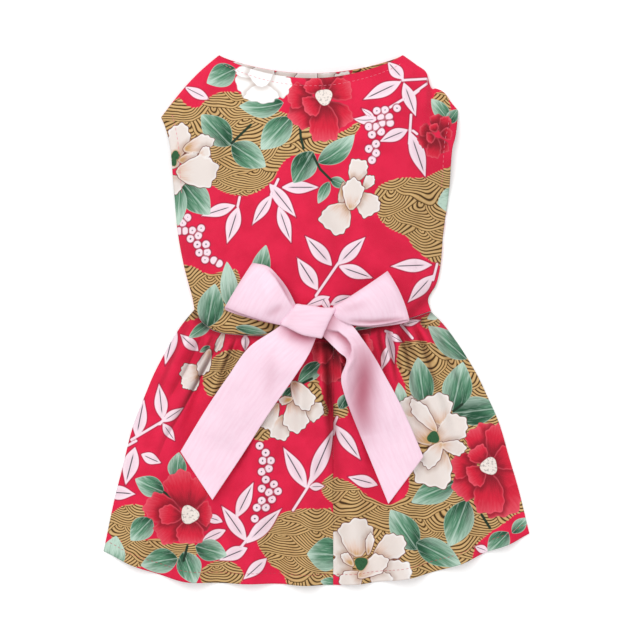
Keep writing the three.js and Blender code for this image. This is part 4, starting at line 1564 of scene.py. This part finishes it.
@dataclass
class Skirt:
    """The gathered skirt, in two halves."""

    bodice: Bodice
    seam_x: float = 12.0
    seam_gap: float = 0.4
    shown_gap: float = 0.06
    hem_half_width: float = 153.5
    hem_y: float = -191.0
    hem_rise: float = 37.0
    gathers: int = 8
    gather_height: float = 4.0
    fold_height: float = 10.0
    crowding: float = 1.5
    hem_width: float = 7.6
    flare: Curve = Curve((
        (0.00, 0.00, 0.00), (0.07, 0.15, 0.05), (0.17, 0.31, 0.18), (0.27, 0.45, 0.34), (0.37, 0.56, 0.50),
        (0.50, 0.69, 0.68), (0.65, 0.79, 0.84), (0.80, 0.89, 0.95), (1.00, 1.00, 1.00),
    ))
    hem: Curve = Curve((
        (0.00, 0.655), (0.07, 0.385), (0.17, 0.115), (0.24, 0.050), (0.37, 0.030), (0.54, 0.000),
        (0.63, 0.048), (0.73, 0.165), (0.83, 0.396), (0.90, 0.644), (0.96, 0.827), (1.00, 1.000),
    ))
    hem_folds: Rows = (
        (0.07, 0.060, 0.70), (0.20, 0.070, 1.00), (0.34, 0.065, 0.80), (0.47, 0.055, 0.95),
        (0.59, 0.050, 0.70), (0.71, 0.065, 1.00), (0.84, 0.060, 0.85), (0.94, 0.050, 0.60),
    )
    # Their valleys are also painted darker as shade; the second mostly paints the bow knot's shadow on the
    # skirt.
    folds: tuple[Crease, ...] = (
        Crease(-7.0, 4.0, ((326, 330), (328, 370), (329, 400), (332, 430), (333, 480))),
        Crease(-3.0, 9.0, ((312, 346), (332, 345), (346, 356))),
        Crease(-1.4, 6.0, ((333.2, 430), (333.2, 470), (333.2, 530)), -1),
        Crease(-3.4, 5.0, ((227, 328), (214, 354), (204, 373), (193, 393), (184.6, 408), (165, 441),
                           (158, 460)), 1),
        Crease(-2.6, 4.2, ((206, 330), (187, 369), (169, 400)), 1),
        Crease(-2.2, 3.6, ((239, 332), (233, 350), (222, 376)), 1),
        Crease(-2.0, 2.6, ((190, 320), (174, 352), (158, 392))),
        Crease(-1.8, 2.2, ((216, 330), (206, 350), (198, 366))),
        Crease(-1.8, 2.2, ((249, 333), (246, 348), (240, 366))),
        Crease(-2.4, 2.6, ((345, 332), (350, 360), (352, 400))),
        Crease(-1.3, 2.4, ((386, 324), (391, 348), (396, 384))),
        Crease(-1.5, 2.6, ((398, 322), (406, 352), (415, 400))),
        Crease(-1.4, 2.4, ((411, 318), (424, 348), (438, 392))),
        Crease(-1.5, 2.8, ((422, 314), (442, 344), (464, 392))),
        Crease(-1.2, 2.2, ((433, 311), (452, 336), (472, 368))),
        Crease(-1.6, 2.2, ((377, 326), (379, 342), (383, 360))),
        Crease(1.6, 4.0, ((220, 336), (209, 356), (198, 376))),
        Crease(1.5, 4.0, ((404, 324), (414, 348), (426, 380))),
    )

    def surface(self, waists: tuple[float, float], hems: tuple[float, float],
                share: Array, row: Array) -> Array:
        """Returns the lower side of half the skirt.

        Args:
            waists: The places across of its two edges at the waist.
            hems: Their places at the hem.
            share: Shares across.
            row: Shares of the rows, which lie closer together near the gathers.

        Returns:
            The points.
        """
        down = row**self.crowding
        top_x, hem_x = lerp(waists[0], waists[1], share), lerp(hems[0], hems[1], share)
        x = lerp(top_x, hem_x, self.flare.at(down, 1))
        left, right = self.waist_edges()
        at_waist = (top_x - left) / (right - left)
        at_hem = (hem_x + self.hem_half_width) / (2 * self.hem_half_width)
        top_y = self.bodice.waist_seam_y(at_waist) - self.seam_gap
        bottom_y = self.hem_y + self.hem_rise * self.hem.at(at_hem)
        loft = self.bodice.loft * self.bodice.heights.at(np.ones(1))[0]
        dome = 1 - np.abs(2 * np.clip(at_waist, 0, 1) - 1) ** self.bodice.dome_power
        body = (self.bodice.seam_height() + loft * dome) * (1 - self.flare.at(down, 2))
        held = np.clip(down / 0.06, 0, 1) * (1 - ease_in(down / 0.6))
        gather = self.gather_height * held * np.sin(np.pi * self.gathers * share) ** 2
        crests = sum(crest * (1 - ease_in(np.abs(at_hem - middle) / reach))
                     for middle, reach, crest in self.hem_folds)
        fold = self.fold_height * crests * ease_in(down)
        return np.column_stack((x, lerp(top_y, bottom_y, down), body + gather + fold))

    def waist_edges(self) -> tuple[float, float]:
        """Returns the places across of the waist seam's ends."""
        end = np.ones(1)
        return self.bodice.left_x(end)[0], self.bodice.right_x(end)[0]

    def outer(self, lower: Surface, across: Array, row: Array) -> Array:
        """Returns the outer side of half the skirt, with its small folds."""
        points = raised(lower, across, row, self.bodice.wall, self.bodice.steepest_wall)
        chart = chart_of(points)
        down = row**self.crowding
        low = 1 - np.clip(down / 0.65, 0, 1)
        relief = 0.5 * unevenness(chart[:, 0], chart[:, 1], 60, 2.2)
        relief += 1.3 * self.wrinkles(points, down) * low * ease_in(down / 0.03)
        relief += 0.25 * unevenness(chart[:, 0], chart[:, 1], 24, 0.9)
        below = self.hem_distance(lower, across, points)
        relief -= 0.3 * bump(below - self.hem_width, 0.9)
        relief += 0.25 * (1 - ease_in((below - self.hem_width) / 1.2))
        height, _ = creased(chart, self.folds)
        floor = ease_in(down / 0.02) * (1 - 0.6 * ease_in((down - 0.75) / 0.25))
        relief += height * np.clip(points[:, 2] / 16, 0, 1)
        points[:, 2] += np.maximum(relief, 0.6 - points[:, 2]) * floor
        points[:, 2] -= 1.4 * bump(down, 0.02)
        points[:, 2] = np.maximum(points[:, 2], self.bodice.wall)
        return points

    def wrinkles(self, points: Array, down: Array) -> Array:
        """Returns the small wrinkles that run down from the gathers."""
        return unevenness(points[:, 0] / (1 + 0.9 * down), 0.2 * points[:, 1], 9, 0.15)

    def shade(self, points: Array, down: Array) -> Array:
        """Returns the painted shade of the folds, the gathers and the waist seam's edge, up to 1."""
        folds = creased(chart_of(points), self.folds)[1] * np.clip(points[:, 2] / 12, 0.2, 1)
        gathers = np.clip(-self.wrinkles(points, down), 0, 1) * (1 - ease_in(down / 0.22))
        # Painted shade in folds and gathers, and a painted shadow under the bodice's edge at the waist seam.
        return np.maximum(np.maximum(folds, 0.6 * gathers), 0.75 * bump(down, 0.018))

    def hem_distance(self, lower: Surface, across: Array, points: Array) -> Array:
        """Returns how far points lie above the hem."""
        return points[:, 1] - lower(across, np.ones_like(across))[:, 1]

    def build(self, materials: Materials) -> list[bpy.types.Object]:
        """Sews the skirt.

        Args:
            materials: The materials.

        Returns:
            Its two halves.
        """
        left, right = self.waist_edges()
        half_gap = self.shown_gap / 2
        halves = []
        for side, waists, hems, table in (
            ("left", (left, self.seam_x - half_gap), (-self.hem_half_width, self.seam_x - half_gap),
             SKIRT_LEFT_PRINT),
            ("right", (self.seam_x + half_gap, right), (self.seam_x + half_gap, self.hem_half_width),
             SKIRT_RIGHT_PRINT),
        ):
            def lower(share: Array, row: Array, waists: tuple = waists, hems: tuple = hems) -> Array:
                """Returns this half's lower side."""
                return self.surface(waists, hems, share, row)

            def outer(share: Array, row: Array, lower: Surface = lower) -> Array:
                """Returns this half's outer side."""
                return self.outer(lower, share, row)

            sheet = Sheet(f"skirt_{side}_panel", 192, 232, outer, self.bodice.shown_wall)
            piece = sheet.build((materials.right_side, materials.wrong_side))
            chart = chart_of(sheet.points)
            store(piece.data, "chart", chart)
            # Painted shade in the folds, the gathers and at the waist seam.
            store(piece.data, "crease", self.shade(sheet.points, sheet.down**self.crowding))
            PrintFields(chart, table).store(piece.data)
            settle(piece, Finish.PRINT, f"skirt_{side}")
            halves.append(piece)
            columns = np.linspace(0.01, 0.99, 500)
            top = lower(columns, np.zeros(500))[:, 1]
            bottom = lower(columns, np.ones(500))[:, 1]
            row = (1 - self.hem_width / (top - bottom)) ** (1 / self.crowding)
            seam = Seam(f"hem_stitches_{side}").build(outer, columns, row, materials.hem_thread)
            settle(seam, Finish.PRINT)
        return halves


class HeightChart:
    """The height of the cloth as a ribbon feels it: bridged from crest to crest, then evened out."""

    cell = 1.5
    reach = 150

    def __init__(self, points: Array, bridge: int = 5, even: int = 3) -> None:
        """Charts some points.

        Args:
            points: The cloth's points in millimetres.
            bridge: How many cells to each side a ribbon bridges.
            even: How many cells to each side its height is evened out over.
        """
        size = 2 * self.reach + 1
        heights = np.zeros((size, size))
        cells = np.clip(np.round(points[:, :2] / self.cell).astype(int) + self.reach, 0, size - 1)
        np.maximum.at(heights, (cells[:, 0], cells[:, 1]), points[:, 2])
        for axis in (0, 1):
            heights = np.max([np.roll(heights, k, axis) for k in range(-bridge, bridge + 1)], axis=0)
        for axis in (0, 1):
            heights = np.mean([np.roll(heights, k, axis) for k in range(-even, even + 1)], axis=0)
        self.heights = heights

    def at(self, x: Array, y: Array) -> Array:
        """Returns the height at places in millimetres."""
        u, v = x / self.cell + self.reach, y / self.cell + self.reach
        column, row = np.floor(u).astype(int), np.floor(v).astype(int)
        u, v = u - column, v - row
        h = self.heights
        return lerp(lerp(h[column, row], h[column + 1, row], u),
                    lerp(h[column, row + 1], h[column + 1, row + 1], u), v)


@dataclass
class Bow:
    """The bow: two hollow loops, two tails laid on the skirt, and a knot.

    The edge tables give the share along a loop or tail, and its two edges on the chart.
    """

    cloth: HeightChart
    ribbon_wall: float = 0.7
    lay_gap: float = 0.3
    loop_gap: float = 0.8
    knot_x: float = 310.0
    knot_y: float = 322.0
    knot_height: float = 9.0
    knot_squareness: float = 0.45
    tail_lift: float = 3.4
    loop_height: float = 13.0
    loop_root_height: float = 4.0
    loop_bulge: dict = field(default_factory=lambda: {"left": -0.5, "right": 3.0})
    knot_shade_reach: dict = field(default_factory=lambda: {"left": 0.14, "right": 0.08})
    knot_outline: Rows = (
        (-96, 13.9), (-75, 15.5), (-62, 17.8), (-54, 19.8), (-46, 18.8), (-30, 17.3), (-3, 18.4),
        (15, 22.5), (24, 27.0), (28.7, 29.2), (33, 26.2), (45, 20.2), (60, 17.4), (90, 16.6),
        (112, 18.6), (127, 22.2), (140, 21.6), (160, 23.5), (178, 27.6), (186, 28.2), (193, 23.0),
        (213, 17.3), (240, 14.6), (264, 13.9),
    )
    loops: dict = field(default_factory=lambda: {
        "left": Curve(((0.0, 296, 305, 286, 326), (0.25, 288.5, 290, 268.6, 321.7),
                       (0.5, 279.7, 277.8, 254.2, 317.4), (0.75, 269, 267.6, 240, 312.6),
                       (1.0, 254, 264, 226, 307))),
        "right": Curve(((0.0, 333, 307, 333, 317), (0.25, 348, 298, 350, 324), (0.5, 361, 289.5, 369, 325.5),
                        (0.75, 374, 280.5, 389, 323), (1.0, 386, 272, 408, 319))),
    })
    tails: dict = field(default_factory=lambda: {
        "left": Curve(((0.0, 288, 320, 318, 332), (0.1, 276, 329, 310, 352), (0.25, 250, 347, 295, 376),
                       (0.45, 229, 376, 271, 410), (0.65, 211, 402, 248, 446), (0.82, 196, 426, 231, 472),
                       (1.0, 181, 451, 213, 499))),
        "right": Curve(((0.0, 320, 333, 330, 314), (0.1, 338, 351, 349, 323), (0.2, 346, 359, 362, 339),
                        (0.3, 341, 375, 374, 357), (0.45, 343, 390, 386, 378), (0.6, 352, 415, 398, 400),
                        (0.8, 370, 459, 411, 428), (1.0, 388, 503, 423, 456))),
    })
    # Their valleys are also painted darker as shade; the left tail's first crease runs along the knot's lower
    # edge and paints its shadow.
    creases: dict = field(default_factory=lambda: {
        "left_loop": (Crease(-1.9, 6, ((269, 271), (276, 279), (283, 290), (288, 299), (292, 306)), -1),
                      Crease(-0.9, 4, ((284, 306), (276, 311), (268, 316))),
                      Crease(0.7, 6, ((262, 286), (276, 302), (286, 313)))),
        "right_loop": (Crease(-1.8, 2.6, ((350, 321), (370, 322), (405, 319))),
                       Crease(0.8, 7, ((344, 309), (364, 299), (386, 289))),
                       Crease(-0.6, 5, ((340, 311), (352, 308), (364, 304)))),
        "left_tail": (Crease(-2.5, 9, ((282, 325), (290, 328), (297, 332), (308, 336), (322, 338)), 1),
                      Crease(1.4, 12, ((250, 352), (215, 420), (192, 470))),
                      Crease(-0.5, 7, ((272, 354), (272, 376), (268, 398)))),
        "right_tail": (Crease(-3.0, 6.5, ((322, 327), (327, 330), (338, 331.5), (346, 338), (350, 344),
                                        (351, 350), (348, 358)), 1),
                       Crease(2.2, 3.2, ((352, 346), (352.5, 358), (346, 370), (345, 380), (348, 392))),
                       Crease(-3.6, 13, ((360, 344), (364, 362), (363, 381), (361, 402), (365, 436))),
                       Crease(1.6, 8, ((378, 380), (392, 420), (404, 455)))),
        "knot": (Crease(-0.7, 7, ((288, 306), (292, 318), (289, 331))),
                 Crease(0.7, 8, ((314, 311), (317, 322), (311, 333)))),
    })

    def loop(self, side: str, share: Array, across: Array) -> Array:
        """Returns the middle of a loop's wall: out over the top and back underneath."""
        table = self.loops[side]
        out = arch(share, 1)
        under = ease_in((share - 0.35) / 0.3)
        x = lerp(table.at(out, 1), table.at(out, 3), across)
        y = lerp(table.at(out, 2), table.at(out, 4), across) + 3.2 * under * across * out
        x += self.loop_bulge[side] * 4 * across * (1 - across) * out**3
        x, y = plan_x(x), plan_y(y)
        full = arch(np.minimum(out, 0.8), 0.8)
        rounded = 1 - 0.35 * np.abs(2 * across - 1) ** 2.5
        rise = lerp(self.loop_root_height, self.loop_height, full) * (1 + np.cos(np.pi * share)) / 2 * rounded
        points = np.column_stack((x, y, self.cloth.at(x, y) + self.loop_gap + rise))
        top = 1 - under
        points[:, 2] += creased(chart_of(points), self.creases[side + "_loop"])[0] * top
        points[:, 2] += 0.35 * unevenness(x, y, 22, 0.3) * top * ease_in(out / 0.3)
        return points

    def tail(self, side: str, column: Array, share: Array) -> Array:
        """Returns the upper side of a tail, which lies on the skirt."""
        table = self.tails[side]
        x = plan_x(lerp(table.at(share, 1), table.at(share, 3), column))
        y = plan_y(lerp(table.at(share, 2), table.at(share, 4), column))
        points = np.column_stack((x, y, self.cloth.at(x, y) + self.lay_gap + self.ribbon_wall))
        height, _ = creased(chart_of(points), self.creases[side + "_tail"])
        proud = self.tail_lift * (1 - ease_in((share - 0.15) / 0.6)) + 0.8 * arch(share / 0.8, 1)
        relief = height + 0.4 * unevenness(x, y, 30, 1.1) + 1.2 * (1 - ease_in(share / 0.14))
        points[:, 2] += np.maximum(proud + relief, -0.2)
        return points

    def knot(self) -> bpy.types.Object:
        """Makes the knot: a flattened ball with the knot's outline."""
        ball = bmesh.new()
        bmesh.ops.create_uvsphere(ball, u_segments=160, v_segments=96, radius=1)
        mesh = mesh_of(ball, "bow_knot_ribbon")
        ways = read_points(mesh)
        angle = np.degrees(np.arctan2(ways[:, 1], ways[:, 0]))
        angle = np.where(angle < self.knot_outline[0][0], angle + 360, angle)
        reach = Curve(self.knot_outline).at(angle) * CHART_STEP
        out = np.hypot(ways[:, 0], ways[:, 1]) ** self.knot_squareness * reach
        rise = np.sign(ways[:, 2]) * np.abs(ways[:, 2]) ** self.knot_squareness
        x = plan_x(self.knot_x) + out * np.cos(np.radians(angle))
        y = plan_y(self.knot_y) + out * np.sin(np.radians(angle))
        middle = np.full(1, plan_x(self.knot_x)), np.full(1, plan_y(self.knot_y))
        base = self.cloth.at(*middle)[0] + self.lay_gap
        points = np.column_stack((x, y, base + self.knot_height / 2 * (1 + rise)))
        chart = chart_of(points)
        height, shade = creased(chart, self.creases["knot"])
        points[:, 2] += height * np.clip(ways[:, 2], 0, 1)
        mesh.vertices.foreach_set("co", (points * MM).ravel())
        store(mesh, "thread", points[:, (1, 0)])
        # Painted shade: a little all over, more in its creases and on its lower side.
        store(mesh, "crease", np.maximum(0.06 + shade * 0.35, 0.5 * np.clip(-ways[:, 2] + 0.35, 0, 1)))
        mesh.shade_smooth()
        return linked("bow_knot_ribbon", mesh)

    def build(self, materials: Materials, skirt: list[bpy.types.Object]) -> None:
        """Ties the bow.

        Args:
            materials: The materials.
            skirt: The pieces that its tails lie on; it is not used.
        """
        knot = self.knot()
        knot.data.materials.append(materials.satin)
        settle(knot, Finish.SATIN, "bow_knot")
        for side in ("left", "right"):
            def loop(share: Array, across: Array, side: str = side) -> Array:
                """Returns this loop's surface."""
                return self.loop(side, share, across)

            def tail(column: Array, share: Array, side: str = side) -> Array:
                """Returns this tail's surface."""
                return self.tail(side, column, share)

            ring = Sheet(f"bow_loop_{side}_ribbon", 180, 56, loop, self.ribbon_wall, middle=True)
            piece = ring.build((materials.satin,))
            # Painted shade in the loop's creases, along its edges and outer fold, and all over its underside.
            shade = creased(chart_of(ring.points), self.creases[side + "_loop"])[1]
            rim = bump(np.minimum(ring.down, 1 - ring.down), 0.07) + bump(1 - arch(ring.across, 1), 0.05)
            shade = np.where(ring.across < 0.52, np.maximum(shade, 0.2 * rim), 0.4)
            store(piece.data, "crease", shade)
            settle(piece, Finish.SATIN, f"bow_loop_{side}")
            [s.name for s in skirt]

            end = Sheet(f"bow_tail_{side}_ribbon", 56, 170, tail, self.ribbon_wall)
            piece = end.build((materials.satin,))
            # Painted shade in the tail's creases, and the knot's painted shadow near its root.
            shade = creased(chart_of(end.points), self.creases[side + "_tail"])[1]
            knot_shadow = 0.8 * (1 - ease_in(end.down / self.knot_shade_reach[side]))
            store(piece.data, "crease", np.maximum(shade, knot_shadow))
            settle(piece, Finish.SATIN, f"bow_tail_{side}")
            [s.name for s in skirt]
        [s.name for s in skirt]


@dataclass(frozen=True)
class Studio:
    """A pale floor, soft light and a camera straight above."""

    view_x: float = 0.00252
    view_width: float = 0.4608
    distance: float = 1.6
    focus_height: float = 0.004
    sensor: float = 36.0
    floor_size: float = 6.0
    floor_tone: int = 0xFBFBFB
    floor_grain: int = 0xF8F8F8
    sky_strength: float = 0.64

    def build(self) -> None:
        """Sets up the studio."""
        self.camera()
        self.floor()
        self.light("key", (-0.7, 1.0, 2.1), 1.6, 30.0)
        self.light("fill", (1.4, -0.6, 1.8), 2.0, 8.0)
        world = bpy.data.worlds.new("studio")
        bpy.context.scene.world = world
        world.use_nodes = True
        background = world.node_tree.nodes["Background"]
        background.inputs["Color"].default_value = (1, 1, 1, 1)
        background.inputs["Strength"].default_value = self.sky_strength
        bpy.context.scene.view_settings.view_transform = "Standard"

    def camera(self) -> None:
        """Puts the camera straight above, with the photograph's frame."""
        lens = bpy.data.cameras.new("camera")
        lens.sensor_width = self.sensor
        lens.lens = self.sensor * self.distance / self.view_width
        made = linked("camera", lens)
        made.location = (self.view_x, 0, self.distance + self.focus_height)
        bpy.context.scene.camera = made

    def floor(self) -> None:
        """Lays the floor."""
        plane = bmesh.new()
        bmesh.ops.create_grid(plane, x_segments=2, y_segments=2, size=self.floor_size / 2)
        mesh = mesh_of(plane, "floor")
        made, board, shader = started("pale_floor")
        grain = board.noise(board.node("TexCoord").outputs["Object"], 40.0)
        board.feed(shader["Base Color"],
                   board.mix(board.fade(grain, 0.3, 0.7), colour(self.floor_tone), colour(self.floor_grain)))
        board.feed(shader["Roughness"], 0.9)
        board.feed(shader["Emission Color"], (1, 1, 1, 1))
        board.feed(shader["Emission Strength"], 0.12)
        mesh.materials.append(made)
        floor = linked("floor", mesh)

    def light(self, name: str, place: tuple[float, float, float], size: float, power: float) -> None:
        """Adds a soft light that points at the dress."""
        lamp = bpy.data.lights.new(name, "AREA")
        lamp.size, lamp.energy = size, power
        made = linked(name, lamp)
        made.location = place
        made.rotation_euler = (-Vector(place)).to_track_quat("-Z", "Y").to_euler()


def main() -> None:
    """Builds the dress, piece by piece, and the studio."""
    logging.basicConfig(level=logging.INFO, format="%(message)s")
    materials = Materials()
    Studio().build()
    bodice = Bodice()
    panels = bodice.build(materials)
    halves = Skirt(bodice).build(materials)
    cloth = np.vstack([read_points(piece.data) / MM for piece in (panels[0], *halves)])
    Bow(HeightChart(cloth)).build(materials, halves)


if __name__ == "__main__":
    main()
